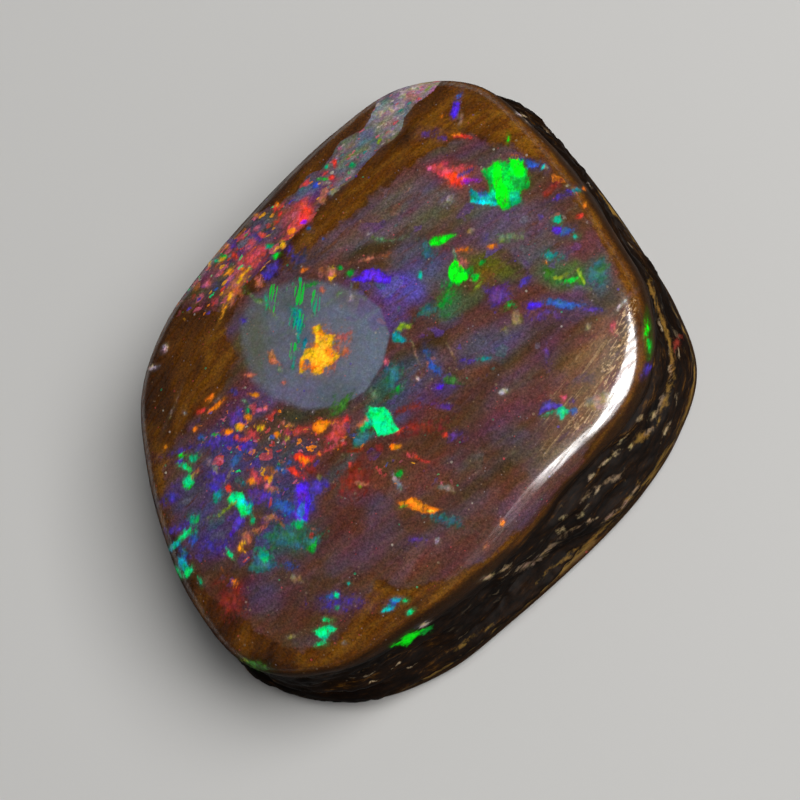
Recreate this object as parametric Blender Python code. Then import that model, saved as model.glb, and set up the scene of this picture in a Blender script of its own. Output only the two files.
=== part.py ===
"""Boulder opal: one polished freeform cabochon, precious opal in its brown ironstone.

The stone lies on its sawn base. It has a gently domed polished face, a soft rounded
shoulder, and a natural side wall that spreads towards the base in thin ironstone beds,
broken here and there by elongated pits. Its long axis runs along +Y.
"""
import math

import bmesh
import bpy
import numpy as np

MM = 0.001

# Outline: radii about the stone's axis, one every 15 degrees, counted from +X towards +Y.
# The rim is where the polished shoulder ends, the base line is where the wall ends.
RIM_RADII = (
    4.22, 4.50, 4.54, 4.47, 4.64, 4.99, 5.46, 5.37, 4.84, 4.48, 4.37, 4.50,
    4.84, 5.13, 5.22, 5.43, 5.79, 6.06, 5.57, 4.71, 4.18, 3.80, 3.64, 3.81,
)
BASE_RADII = (
    4.68, 4.94, 4.79, 4.69, 4.85, 5.26, 5.81, 5.64, 5.07, 4.70, 4.58, 4.72,
    5.05, 5.33, 5.42, 5.63, 5.99, 6.26, 5.90, 5.27, 4.63, 4.31, 4.26, 4.41,
)

# The polished face is a shallow bowl turned over, longer than it is wide
CROWN_HEIGHT = 3.30
DOME_RISE = 0.50
DOME_HALF_WIDTH = 3.60
DOME_HALF_LENGTH = 5.00
DOME_TURN = math.radians(-24)   # direction of its short axis
DOME_SQUARE = 0.25              # share of the fall that comes late, near the shoulder

# The shoulder and the wall
WALL_TOP = 2.22
WALL_FOOT = 0.17
SHOULDER_RUN = 0.62
SHOULDER_START = math.radians(13)
SHOULDER_END = math.radians(84)

# Beds down the wall: height of each line, and how far it stands out of the plain wall
BEDS = (
    (2.12, 0.00), (1.98, -0.01), (1.85, -0.05), (1.70, 0.02), (1.54, 0.04),
    (1.40, -0.06), (1.24, -0.03), (1.08, 0.04), (0.93, -0.08), (0.79, -0.09),
    (0.65, 0.05), (0.51, 0.07), (0.37, -0.03), (0.25, -0.01),
)
BED_WAVE = 0.11                 # how far the beds rise and sink round the stone
BED_STRENGTH = 0.75             # how strong the beds are on the whole
BED_CHANGE = ((1, 0.30, 1.9), (2, 0.30, 2.4), (5, 0.28, 3.7), (9, 0.22, 1.3), (14, 0.16, 2.9))
LUMPS = ((4, 0.05, 0.6), (7, 0.045, 2.3), (11, 0.035, 4.4), (17, 0.022, 1.2))
LUMP_LEAN = 2.2                 # how fast the lumps slide round with height
EDGE_RADIUS = 0.17
EDGE_STEPS = 3

# Pits worn out along the beds: turn (degrees), height, half length, half height, depth
PITS = (
    (-76, 1.22, 0.60, 0.26, 0.13), (-59, 1.66, 0.42, 0.22, 0.09), (-49, 0.98, 0.70, 0.24, 0.15),
    (-34, 1.42, 0.55, 0.27, 0.14), (-22, 0.95, 0.60, 0.25, 0.12), (-10, 1.62, 0.50, 0.24, 0.11),
    (5, 1.12, 0.80, 0.30, 0.17), (23, 1.60, 0.55, 0.24, 0.12), (39, 1.00, 0.66, 0.26, 0.13),
    (57, 1.48, 0.55, 0.26, 0.13), (75, 1.05, 0.80, 0.30, 0.17), (97, 1.55, 0.55, 0.26, 0.12),
    (119, 1.02, 0.62, 0.28, 0.15), (141, 1.45, 0.80, 0.32, 0.18), (163, 1.02, 0.55, 0.26, 0.13),
    (184, 1.58, 0.62, 0.26, 0.13), (206, 1.10, 0.85, 0.32, 0.18), (231, 1.50, 0.58, 0.26, 0.12),
    (250, 1.00, 0.66, 0.27, 0.15), (268, 1.46, 0.50, 0.26, 0.12),
)
PIT_SLOPE = 1.3                 # above 1 the pits are soft bowls, below it they are steep

# Mesh
SEGMENTS = 132
FACE_RINGS = 10
SHOULDER_STEPS = 5
EDGE_ANGLE = math.radians(40)

# Finish
STONE_COLOUR = (0.200, 0.115, 0.085, 1.0)
STONE_ROUGHNESS = 0.28


def closed_curve(radii, turns):
    """Radius at each turn, on a smooth closed curve through evenly spaced radii."""
    count = len(radii)
    place = np.mod(turns, 2 * math.pi) / (2 * math.pi) * count
    index = np.floor(place).astype(int)
    t = place - index
    points = np.array(radii)
    before, here, after, later = (points[(index + step) % count] for step in (-1, 0, 1, 2))
    return 0.5 * (
        2 * here
        + (after - before) * t
        + (2 * before - 5 * here + 4 * after - later) * t ** 2
        + (3 * here - before - 3 * after + later) * t ** 3
    )


def dome_height(turns, radius):
    """Height of the polished face at each turn and distance from the stone's axis."""
    wide = radius * np.cos(turns - DOME_TURN) / DOME_HALF_WIDTH
    long = radius * np.sin(turns - DOME_TURN) / DOME_HALF_LENGTH
    reach = wide ** 2 + long ** 2
    return CROWN_HEIGHT - DOME_RISE * ((1 - DOME_SQUARE) * reach + DOME_SQUARE * reach ** 2)


def face_edge(turns):
    """Distance from the axis at which the face turns into the shoulder."""
    return closed_curve(RIM_RADII, turns) - SHOULDER_RUN * (1 - math.sin(SHOULDER_START))


def face_ring(turns, share):
    """One ring of the polished face: share runs from 0 at the middle to 1 at the shoulder."""
    radius = share * face_edge(turns)
    return radius, dome_height(turns, radius)


def shoulder_ring(turns, lean):
    """One ring of the rounded shoulder: lean is its angle down from level."""
    drop = dome_height(turns, face_edge(turns)) - WALL_TOP
    radius = closed_curve(RIM_RADII, turns) - SHOULDER_RUN * (1 - math.sin(lean))
    return radius, WALL_TOP + drop * math.cos(lean) / math.cos(SHOULDER_START)


def waves(turns, parts, slide):
    """A sum of sine waves round the stone: each has a count, an amount and a start."""
    return sum(amount * np.sin(count * turns + start + slide) for count, amount, start in parts)


def pit_depth(turns, radius, height):
    """How deep the pits cut into the wall at one height."""
    depth = np.zeros_like(turns)
    for turn, pit_height, half_length, half_height, pit in PITS:
        away = np.mod(turns - math.radians(turn) + math.pi, 2 * math.pi) - math.pi
        reach = (away * radius / half_length) ** 2 + ((height - pit_height) / half_height) ** 2
        depth = np.maximum(depth, pit * np.clip(1 - reach, 0, 1) ** PIT_SLOPE)
    return depth


def wall_ring(turns, height, stand):
    """One ring of the wall, along a bed at this height that stands out by this much."""
    down = (WALL_TOP - height) / (WALL_TOP - WALL_FOOT)
    belly = math.sin(math.pi * down)
    spread = 0.5 * down + 0.5 * down ** 2 * (3 - 2 * down)
    rim = closed_curve(RIM_RADII, turns)
    plain = rim + (closed_curve(BASE_RADII, turns) - rim) * spread
    strength = np.clip(BED_STRENGTH + waves(turns, BED_CHANGE, 3 * height), 0, None)
    lumps = belly * waves(turns, LUMPS, LUMP_LEAN * height)
    lift = BED_WAVE * belly * (np.sin(2 * turns + 0.8) + 0.5 * np.sin(5 * turns + 2.5))
    radius = plain + stand * strength + lumps - pit_depth(turns, plain, height)
    return radius, height + lift


def foot_ring(turns, lean):
    """One ring of the rounded edge of the base."""
    radius = closed_curve(BASE_RADII, turns) - EDGE_RADIUS * (1 - math.cos(lean))
    return radius, np.full_like(turns, WALL_FOOT - EDGE_RADIUS * math.sin(lean))


def stone_rings(turns):
    """Every ring of the stone from the middle of the face down to its base."""
    rings = [face_ring(turns, step / FACE_RINGS) for step in range(1, FACE_RINGS + 1)]
    for step in range(1, SHOULDER_STEPS + 1):
        lean = SHOULDER_START + (SHOULDER_END - SHOULDER_START) * step / SHOULDER_STEPS
        rings.append(shoulder_ring(turns, lean))
    rings += [wall_ring(turns, height, stand) for height, stand in BEDS]
    rings += [foot_ring(turns, math.pi / 2 * step / EDGE_STEPS) for step in range(EDGE_STEPS + 1)]
    return rings


def outline_middle():
    """Middle of the box around the base line, which becomes the stone's origin."""
    turns = np.linspace(0, 2 * math.pi, 720, endpoint=False)
    radius = closed_curve(BASE_RADII, turns)
    across = radius * np.cos(turns)
    along = radius * np.sin(turns)
    return (across.max() + across.min()) / 2, (along.max() + along.min()) / 2


def build_stone():
    """The stone as one closed mesh, resting on z = 0."""
    turns = np.arange(SEGMENTS) * 2 * math.pi / SEGMENTS
    middle_x, middle_y = outline_middle()
    mesh = bmesh.new()
    rings = []
    for radius, height in stone_rings(turns):
        across = (radius * np.cos(turns) - middle_x) * MM
        along = (radius * np.sin(turns) - middle_y) * MM
        up = np.maximum(height, 0.0) * MM
        rings.append([mesh.verts.new(point) for point in zip(across, along, up)])
    top = mesh.verts.new((-middle_x * MM, -middle_y * MM, CROWN_HEIGHT * MM))
    bottom = mesh.verts.new((-middle_x * MM, -middle_y * MM, 0.0))
    for step in range(SEGMENTS):
        after = (step + 1) % SEGMENTS
        mesh.faces.new((top, rings[0][step], rings[0][after]))
        for upper, lower in zip(rings, rings[1:]):
            mesh.faces.new((upper[step], lower[step], lower[after], upper[after]))
        mesh.faces.new((bottom, rings[-1][after], rings[-1][step]))
    bmesh.ops.recalc_face_normals(mesh, faces=mesh.faces)
    data = bpy.data.meshes.new("opal_stone")
    mesh.to_mesh(data)
    mesh.free()
    data.shade_smooth()
    data.set_sharp_from_angle(angle=EDGE_ANGLE)
    return data


def stone_finish():
    """Dark brown ironstone with a polished shine."""
    finish = bpy.data.materials.new("boulder_opal")
    finish.use_nodes = True
    shader = finish.node_tree.nodes["Principled BSDF"]
    shader.inputs["Base Color"].default_value = STONE_COLOUR
    shader.inputs["Roughness"].default_value = STONE_ROUGHNESS
    shader.inputs["Metallic"].default_value = 0.0
    return finish


def main():
    for thing in list(bpy.data.objects):
        bpy.data.objects.remove(thing)
    stone = bpy.data.objects.new("opal_stone", build_stone())
    stone.data.materials.append(stone_finish())
    bpy.context.scene.collection.objects.link(stone)


main()
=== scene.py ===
"""Boulder opal: the polished stone with its flashes, its veins and its ironstone wall.

Lengths of the stone are in millimetres until its points are written into the mesh. Places
of the marks are in pixels of the 800 by 800 picture, and are carried onto the surface along
the line of sight of the camera below.
"""

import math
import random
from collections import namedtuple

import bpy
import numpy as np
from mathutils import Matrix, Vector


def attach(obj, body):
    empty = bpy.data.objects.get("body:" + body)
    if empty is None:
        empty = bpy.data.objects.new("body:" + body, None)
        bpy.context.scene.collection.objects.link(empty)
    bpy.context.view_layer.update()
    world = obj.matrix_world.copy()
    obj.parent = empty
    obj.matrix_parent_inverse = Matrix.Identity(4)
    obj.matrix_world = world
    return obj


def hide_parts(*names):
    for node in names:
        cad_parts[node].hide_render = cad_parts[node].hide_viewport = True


bl_info = {
    "name": "Boulder opal",
    "version": (1, 0, 0),
    "blender": (4, 5, 0),
    "location": "3D View > Sidebar > Opal",
    "description": "Builds a polished boulder opal and the plain stage that it lies on",
    "category": "Object",
}

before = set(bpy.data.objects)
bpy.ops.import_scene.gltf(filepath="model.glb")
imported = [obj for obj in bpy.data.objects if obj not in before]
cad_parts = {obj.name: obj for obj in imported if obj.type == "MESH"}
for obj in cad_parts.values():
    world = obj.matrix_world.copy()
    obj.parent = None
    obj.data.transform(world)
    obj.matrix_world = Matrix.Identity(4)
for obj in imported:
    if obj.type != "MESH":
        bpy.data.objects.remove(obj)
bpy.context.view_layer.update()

MM = 0.001
STONE_NODE = "opal_stone"

# Outline: radii about the stone's axis, one every 15 degrees, counted from +X towards +Y
RIM_RADII = (
    4.22, 4.50, 4.54, 4.47, 4.64, 4.99, 5.46, 5.37, 4.84, 4.48, 4.37, 4.50,
    4.84, 5.13, 5.22, 5.43, 5.79, 6.06, 5.57, 4.71, 4.18, 3.80, 3.64, 3.81,
)
BASE_RADII = (
    4.68, 4.94, 4.79, 4.69, 4.85, 5.26, 5.81, 5.64, 5.07, 4.70, 4.58, 4.72,
    5.05, 5.33, 5.42, 5.63, 5.99, 6.26, 5.90, 5.27, 4.63, 4.31, 4.26, 4.41,
)

# The polished face
CROWN_HEIGHT = 3.30
DOME_RISE = 0.50
DOME_HALF_WIDTH = 3.60
DOME_HALF_LENGTH = 5.00
DOME_TURN = math.radians(-24)
DOME_SQUARE = 0.25

# The shoulder and the wall. Each bed has a height and how far it stands out. Waves have a
# count round the stone, an amount and a start.
WALL_TOP = 2.22
WALL_FOOT = 0.17
SHOULDER_RUN = 0.62
SHOULDER_START = math.radians(13)
SHOULDER_END = math.radians(84)
BEDS = (
    (2.22, 0.00), (2.12, 0.00), (1.98, -0.01), (1.85, -0.05), (1.70, 0.02), (1.54, 0.04),
    (1.40, -0.06), (1.24, -0.03), (1.08, 0.04), (0.93, -0.08), (0.79, -0.09), (0.65, 0.05),
    (0.51, 0.07), (0.37, -0.03), (0.25, -0.01), (0.17, 0.00),
)
BED_LIFT = ((2, 0.11, 0.8), (5, 0.055, 2.5))
BED_STRENGTH = 0.75
BED_LEAN = 3
BED_CHANGE = ((1, 0.30, 1.9), (2, 0.30, 2.4), (5, 0.28, 3.7), (9, 0.22, 1.3), (14, 0.16, 2.9))
LUMPS = ((4, 0.05, 0.6), (7, 0.045, 2.3), (11, 0.035, 4.4), (17, 0.022, 1.2))
LUMP_LEAN = 2.2
EDGE_RADIUS = 0.17
RELIEF_GROWTH = (5, 8)      # how fast the fine relief grows from the wall's top and foot
OUTLINE_STEPS = 720         # places at which the base line is measured

# Pits of the wall: degrees round the stone, height, half length, half height and depth
PITS = (
    (-76, 1.22, 0.60, 0.26, 0.13), (-59, 1.66, 0.42, 0.22, 0.09), (-49, 0.98, 0.70, 0.24, 0.15),
    (-34, 1.42, 0.55, 0.27, 0.14), (-22, 0.95, 0.60, 0.25, 0.12), (-10, 1.62, 0.50, 0.24, 0.11),
    (5, 1.12, 0.80, 0.30, 0.17), (23, 1.60, 0.55, 0.24, 0.12), (39, 1.00, 0.66, 0.26, 0.13),
    (57, 1.48, 0.55, 0.26, 0.13), (75, 1.05, 0.80, 0.30, 0.17), (97, 1.55, 0.55, 0.26, 0.12),
    (119, 1.02, 0.62, 0.28, 0.15), (141, 1.45, 0.80, 0.32, 0.18), (163, 1.02, 0.55, 0.26, 0.13),
    (184, 1.58, 0.62, 0.26, 0.13), (206, 1.10, 0.85, 0.32, 0.18), (231, 1.50, 0.58, 0.26, 0.12),
    (250, 1.00, 0.66, 0.27, 0.15), (268, 1.46, 0.50, 0.26, 0.12),
)
PIT_SLOPE = 1.3

# Fineness of the mesh: points round the stone, and rings in each part. Rings of the face have
# a count of points, a count of rings and the share of the face that they reach.
SEGMENTS = 640
FACE_RINGS = ((160, 26, 0.24), (320, 28, 0.50), (640, 58, 1.0))
SHOULDER_RINGS = 15
WALL_RINGS = 42
FOOT_RINGS = 5
BASE_RINGS = ((320, 0.90), (160, 0.60), (80, 0.25))

# The camera: it leans from straight above towards the stone's right-hand corner
PICTURE = 800
LENS = 120.0
SENSOR = 36.0
PIXELS_PER_MM = 55.9
CAMERA_TILT = math.radians(20)
CAMERA_SIDE = math.radians(-26)
PICTURE_TURN = math.radians(12)
CAMERA_AIM = (0.335, -0.513, 2.75)
CAMERA_CLIP = (0.002, 5.0)

# The stage. A light has its direction round the stone and its height in degrees, its
# distance, width and height in metres, its roll in degrees, and the rays that don't see it.
Light = namedtuple("Light", "name turn rise distance wide high roll unseen")
LIGHTS = (
    Light("softbox", -1, 30.3, 0.10, 0.054, 0.098, -38, "visible_diffuse"),
    Light("strip", -26.5, 17.5, 0.165, 0.048, 0.092, 0, "visible_diffuse"),
    Light("sheen", 6, 42, 0.12, 0.110, 0.110, 27, "visible_diffuse"),
    Light("panel", 28, 58, 0.15, 0.110, 0.110, 0, "visible_glossy"),
)
SKY_COLOUR = (0.95, 0.97, 1.0)
FLOOR_HALF = 0.30
FLOOR_ROUGHNESS = 0.9
FLOOR_SHINE = 0.2

# How the marks get ragged edges: waves that bend their places, each with a length in pixels
# and a reach as a share of it
STRAY_SEED = 11
STRAY_WAVES = 16
STRAY_LENGTHS = (9, 46)
STRAY_SHARE = 0.014
EDGE_REACH = 5.0      # pixels over which the edge of a flash is stored

# Soft steps from 0 at the first value to 1 at the second. First how far up the surface looks,
# for the polish and for the painted shade of the dark rim, and how far it faces the camera.
POLISH_LEAN = (0.52, 0.78)
# Painted shade on the rim, and how far one zone holds it back
RIM_SHADE_LEAN = (0.56, 0.34)
RIM_SHADE_LIFT = 0.34
IN_SIGHT = (0.0, 0.10)
NEAR_SIDE = (-0.15, 0.15)

# Then pixels into an outline, and shares of a mark's oval
HAZE_EDGE = (-11, 12)
VEIN_EDGE = (-2.5, 2.5)
OCHRE_EDGE = (-9, 7)
WASH_EDGE = (0.35, 1.25)
ZONE_EDGE = (0.45, 1.15)

# Then places in the picture: across it, where the oval's left edge gets softer, and down it,
# where its top edge does, and where the vein fades, turns warm and is pale
POTCH_SOFT_LEFT = (360, 260)
POTCH_SOFT_TOP = (312, 286)
POTCH_SOFTNESS = (5, 12, 9)
POTCH_EDGE = (-0.5, 1)
VEIN_FADE = (282, 325)
VEIN_FADE_AMOUNT = 0.75
VEIN_WARM = (190, 290)
VEIN_WARM_AMOUNT = 0.55
VEIN_PALE = (235, 130)

# Directions of the patterns on the face and the base
FLOW_TURN = math.radians(50)
FIBRE_TURN = math.radians(72)
COMB_TURN = math.radians(96)
SCRATCH_TURN = math.radians(64)
SAW_TURN = math.radians(15)
GLINT_LOW, GLINT_HIGH = 0.70, 1.65  # between these heights the wall has pale glints
RIDGE_HEIGHT = 0.36                 # golden bed just above the base

# Gloss of the stone under its polish, and of the polish itself
STONE_IOR = 1.34
STONE_SHINE = 0.04
POLISH_IOR = 1.65
POLISH_ROUGHNESS = 0.15
BUMP_STRENGTH = 0.4
BUMP_DEPTH = 0.014

# Colours of the stone and its marks, as linear red, green and blue
COLOURS = {
    "leaf": (0.000, 0.950, 0.005),
    "green": (0.000, 0.620, 0.040),
    "forest": (0.004, 0.340, 0.035),
    "moss": (0.050, 0.170, 0.025),
    "sage": (0.160, 0.240, 0.120),
    "lime": (0.280, 0.420, 0.020),
    "emerald": (0.000, 0.850, 0.240),
    "jade": (0.002, 0.420, 0.190),
    "teal": (0.006, 0.280, 0.250),
    "dull teal": (0.035, 0.150, 0.140),
    "cyan": (0.003, 0.480, 0.520),
    "aqua": (0.000, 0.800, 0.720),
    "blue": (0.035, 0.120, 0.460),
    "slate": (0.150, 0.160, 0.220),
    "dusk": (0.060, 0.045, 0.110),
    "indigo": (0.090, 0.020, 0.780),
    "violet": (0.085, 0.045, 0.380),
    "purple": (0.120, 0.045, 0.240),
    "magenta": (0.400, 0.010, 0.720),
    "maroon": (0.240, 0.030, 0.018),
    "red": (0.780, 0.050, 0.030),
    "rose": (0.640, 0.075, 0.075),
    "pink": (0.700, 0.140, 0.210),
    "orange": (0.950, 0.240, 0.008),
    "amber": (0.970, 0.420, 0.012),
    "yellow": (0.800, 0.650, 0.050),
    "salmon": (0.480, 0.150, 0.080),
    "cream": (0.560, 0.480, 0.400),
    "glint": (0.460, 0.330, 0.170),
    "gold": (0.250, 0.130, 0.022),
    "tan": (0.290, 0.190, 0.110),
    "pale": (0.320, 0.270, 0.290),
    "ochre": (0.122, 0.036, 0.001),
    "bright ochre": (0.200, 0.075, 0.003),
    # dark ironstone of some edges, with painted shade where they turn from the light
    "shaded dark ironstone": (0.020, 0.006, 0.001),
    # painted shade on the shoulder, over the dark ironstone of the rim
    "rim": (0.022, 0.008, 0.001),
    "brown haze": (0.078, 0.030, 0.010),
    "streak": (0.165, 0.085, 0.070),
    "dark potch": (0.128, 0.140, 0.180),
    "vein": (0.100, 0.055, 0.045),
    # pale lines of real scratches, painted lighter where the highlight lights them
    "scratch": (0.400, 0.250, 0.120),
    # painted sparkle: golden glints beside the highlight
    "speckle": (0.620, 0.390, 0.180),
    "golden bed": (0.300, 0.170, 0.035),
    "pit": (0.200, 0.110, 0.035),
    # painted glints on the wall
    "painted_glint": (0.520, 0.380, 0.220),
}

# Ramps of the ironstone: a place from 0 to 1 and a colour
DARK_FIBRES = ((0.26, (0.020, 0.005, 0.0004)), (0.42, (0.052, 0.015, 0.0008)))
LIGHT_FIBRES = (0.74, (0.200, 0.072, 0.003))
FIBRE_MIDDLE = 0.56
WALL_ROCK = (
    (0.40, (0.0015, 0.0006, 0.0001)), (0.49, (0.006, 0.002, 0.0002)), (0.56, (0.015, 0.005, 0.0004)),
    (0.62, (0.085, 0.034, 0.003)), (0.69, (0.320, 0.160, 0.028)),
)
SAWN_ROCK = (
    (0.30, (0.020, 0.010, 0.005)), (0.50, (0.060, 0.030, 0.014)), (0.70, (0.130, 0.070, 0.032)),
)

# Small flecks: zone, its share, pattern, flecks to the millimetre, how far they cover, size
# and colours. Each row covers the ones before it.
Flecks = namedtuple("Flecks", "zone share pattern scale cover size colours")
FLECKS = (
    Flecks("cool", 0.44, "slanting", 3.2, 0.38, 0.62,
           ("dusk", "purple", "slate", "dusk", "violet", "dull teal", "purple")),
    Flecks("cool", 0.28, "slanting", 7.0, 0.42, 0.62,
           ("violet", "dull teal", "dusk", "salmon", "slate", "purple")),
    Flecks("warm", 0.34, "slanting", 5.5, 0.60, 0.62,
           ("rose", "violet", "orange", "dusk", "red", "purple", "dusk")),
    Flecks("warm", 0.26, "slanting", 11.0, 0.85, 0.58,
           ("orange", "pink", "amber", "red", "violet", "blue", "rose")),
    Flecks("warm", 0.16, "slanting", 19.0, 0.9, 0.55,
           ("amber", "pink", "orange", "emerald", "cream", "orange")),
    Flecks("vein", 0.50, "slim", 7.0, 0.75, 0.62, ("rose", "pink", "red", "dusk", "slate", "pink")),
    Flecks("vein", 0.24, "slim", 15.0, 0.9, 0.62,
           ("orange", "rose", "emerald", "amber", "violet", "red")),
    Flecks("pale", 0.34, "slim", 8.0, 0.6, 0.62, ("pale", "cream", "slate", "pale")),
    Flecks("pale", 0.24, "slim", 18.0, 0.85, 0.62, ("sage", "pink", "teal", "cream", "rose")),
    Flecks("everywhere", 0.13, "round", 8.0, 0.55, 0.24,
           ("tan", "cream", "rose", "tan", "violet", "jade", "tan")),
    Flecks("everywhere", 0.12, "round", 17.0, 0.45, 0.30, ("tan", "pale", "tan", "rose")),
)

Patch = namedtuple("Patch", "colour soft outline")
Spot = namedtuple("Spot", "colour x y long wide turn soft")
Wash = namedtuple("Wash", "red green blue amount x y long wide turn")
Zone = namedtuple("Zone", "amount x y long wide turn")


def rows(kind, *table):
    """The rows of a table, each with its values named."""
    return tuple(kind(*row) for row in table)


# Flashes with an outline of their own: colour, how soft the edge is, and the outline. Each
# covers the ones before it.
PATCHES = (
    # The violet sheet beside the oval
    Patch("indigo", 0.7, ((353, 280), (362, 273), (372, 268), (380, 272), (392, 275), (392, 283),
          (372, 283))),
    # The green star with its bright arms and its blue foot
    Patch("green", 1.0, ((482, 171), (488, 166), (496, 160), (508, 163), (524, 161), (529, 170), (529, 182),
          (522, 190), (520, 202), (506, 209), (496, 205), (490, 192))),
    Patch("forest", 1.6, ((512, 178), (529, 176), (524, 189), (513, 190))),
    Patch("forest", 1.6, ((484, 174), (491, 176), (496, 190), (489, 188))),
    Patch("jade", 1.2, ((509, 192), (520, 190), (521, 202), (510, 207))),
    Patch("teal", 1.0, ((470, 188), (477, 192), (486, 189), (497, 195), (498, 206), (484, 205),
          (472, 201))),
    Patch("leaf", 0.8, ((493, 161), (499, 159), (501, 170), (503, 182), (507, 192), (508, 204), (503, 210),
          (498, 204), (497, 192), (493, 182), (493, 172))),
    Patch("leaf", 0.8, ((508, 160), (524, 160), (527, 168), (524, 176), (517, 177), (511, 170))),
    Patch("aqua", 0.8, ((471, 199), (484, 201), (498, 203), (498, 207), (482, 205), (472, 202))),
    # Green triangle and the leaf above it
    Patch("forest", 4.0, ((450, 282), (458, 284), (452, 296), (444, 310), (438, 306), (444, 292))),
    Patch("leaf", 0.4, ((455, 260), (462, 264), (469, 274), (466, 279), (458, 284), (451, 282), (448, 276),
          (449, 266))),
    Patch("leaf", 0.8, ((430, 243), (434, 237), (448, 235), (456, 234), (447, 241), (440, 246),
          (432, 245))),
    # Teal square with its dull tail
    Patch("dull teal", 1.8, ((350, 442), (357, 428), (370, 428), (376, 438), (358, 446))),
    Patch("jade", 1.2, ((359, 425), (370, 409), (374, 420), (372, 430), (362, 431))),
    Patch("emerald", 0.45, ((370, 409), (383, 405), (399, 427), (376, 440), (371, 424))),
    # The orange flake in the oval
    Patch("salmon", 6.0, ((328, 338), (346, 334), (347, 352), (332, 364))),
    Patch("amber", 0.9, ((311, 329), (321, 325), (325, 332), (335, 334), (333, 347), (341, 357), (328, 365),
          (319, 376), (314, 368), (308, 360), (304, 364), (306, 374), (300, 371), (300, 360), (307, 350),
          (314, 349), (315, 340))),
    # Red smear beside the star
    Patch("rose", 2.0, ((428, 166), (452, 163), (480, 169), (470, 178), (462, 189), (446, 184),
          (436, 174))),
    Patch("red", 1.6, ((444, 174), (456, 170), (463, 178), (462, 187), (451, 184))),
    Patch("maroon", 2.0, ((539, 193), (548, 187), (563, 180), (561, 188), (548, 197))),
    # Low violet blade, teal flake and small violet flake
    Patch("violet", 1.3, ((293, 481), (310, 483), (312, 500), (308, 516), (298, 526), (293, 514))),
    Patch("violet", 1.5, ((310, 484), (329, 475), (328, 487), (316, 500), (311, 513))),
    Patch("indigo", 0.9, ((296, 484), (309, 483), (311, 502), (308, 516), (303, 521), (297, 508))),
    Patch("jade", 1.1, ((228, 501), (236, 493), (246, 499), (254, 501), (253, 512), (243, 516),
          (236, 512))),
    Patch("emerald", 0.8, ((228, 500), (235, 492), (243, 495), (250, 504), (252, 513), (242, 517),
          (234, 508))),
    Patch("violet", 1.3, ((229, 533), (236, 520), (247, 516), (244, 527), (234, 539))),
    # Orange and red flakes under the oval
    Patch("rose", 1.8, ((330, 423), (346, 414), (344, 430), (338, 441), (326, 441), (332, 430))),
    Patch("orange", 0.9, ((311, 432), (313, 424), (320, 420), (334, 423), (327, 430), (318, 435))),
    Patch("red", 1.2, ((291, 457), (302, 453), (314, 456), (309, 462), (303, 465), (296, 461))),
    Patch("red", 1.0, ((287, 466), (294, 467), (305, 474), (300, 477), (289, 472))),
    Patch("maroon", 5.0, ((340, 494), (338, 478), (352, 458), (367, 466), (369, 486), (354, 497))),
    Patch("maroon", 5.0, ((218, 606), (226, 588), (241, 586), (244, 610), (230, 617))),
    Patch("orange", 0.8, ((397, 501), (412, 499), (426, 503), (443, 510), (430, 513), (413, 511),
          (400, 507))),
    # Salmon flake left in the oval, and the green comb with the teal under it
    Patch("salmon", 0.9, ((268, 352), (274, 350), (277, 362), (282, 366), (272, 369))),
    Patch("teal", 1.6, ((289, 305), (298, 306), (304, 316), (301, 328), (293, 323))),
    # Flakes of the lower right and the bottom
    Patch("dull teal", 1.8, ((249, 571), (252, 556), (262, 546), (272, 546), (270, 556), (281, 567),
          (264, 572))),
    Patch("forest", 0.9, ((304, 537), (316, 536), (316, 545), (311, 553), (306, 549))),
    Patch("emerald", 0.9, ((313, 632), (320, 628), (327, 624), (335, 629), (330, 634), (328, 639),
          (321, 640))),
    Patch("jade", 1.1, ((544, 419), (552, 412), (560, 404), (573, 411), (559, 419), (556, 413))),
    Patch("violet", 1.2, ((540, 416), (544, 404), (552, 400), (561, 404), (552, 411))),
    Patch("moss", 2.0, ((544, 267), (556, 273), (572, 277), (582, 268), (590, 286), (575, 286), (560, 283),
          (547, 281))),
    Patch("lime", 1.0, ((394, 330), (400, 323), (411, 325), (411, 328), (402, 331))),
    Patch("teal", 0.9, ((392, 333), (397, 330), (403, 336), (408, 343), (402, 344), (394, 340))),
    Patch("amber", 0.7, ((327, 278), (329, 269), (333, 265), (335, 274), (331, 282))),
    Patch("indigo", 0.8, ((450, 114), (454, 104), (462, 102), (461, 109), (455, 118), (452, 118))),
    Patch("leaf", 1.2, ((392, 647), (402, 638), (412, 633), (425, 629), (422, 637), (408, 645))),
    # Red, rose and amber flakes of the vein
    Patch("rose", 1.2, ((285, 238), (287, 226), (297, 214), (300, 200), (308, 197), (310, 206), (316, 208),
          (312, 219), (300, 232))),
    Patch("red", 1.0, ((298, 226), (300, 212), (308, 206), (312, 214), (305, 224))),
    Patch("salmon", 1.2, ((318, 204), (321, 188), (328, 184), (329, 192), (324, 204))),
    Patch("rose", 1.8, ((238, 264), (246, 252), (258, 246), (269, 247), (262, 258), (248, 266))),
    Patch("salmon", 2.0, ((224, 302), (228, 286), (240, 272), (250, 270), (240, 290), (230, 308))),
)

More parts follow.
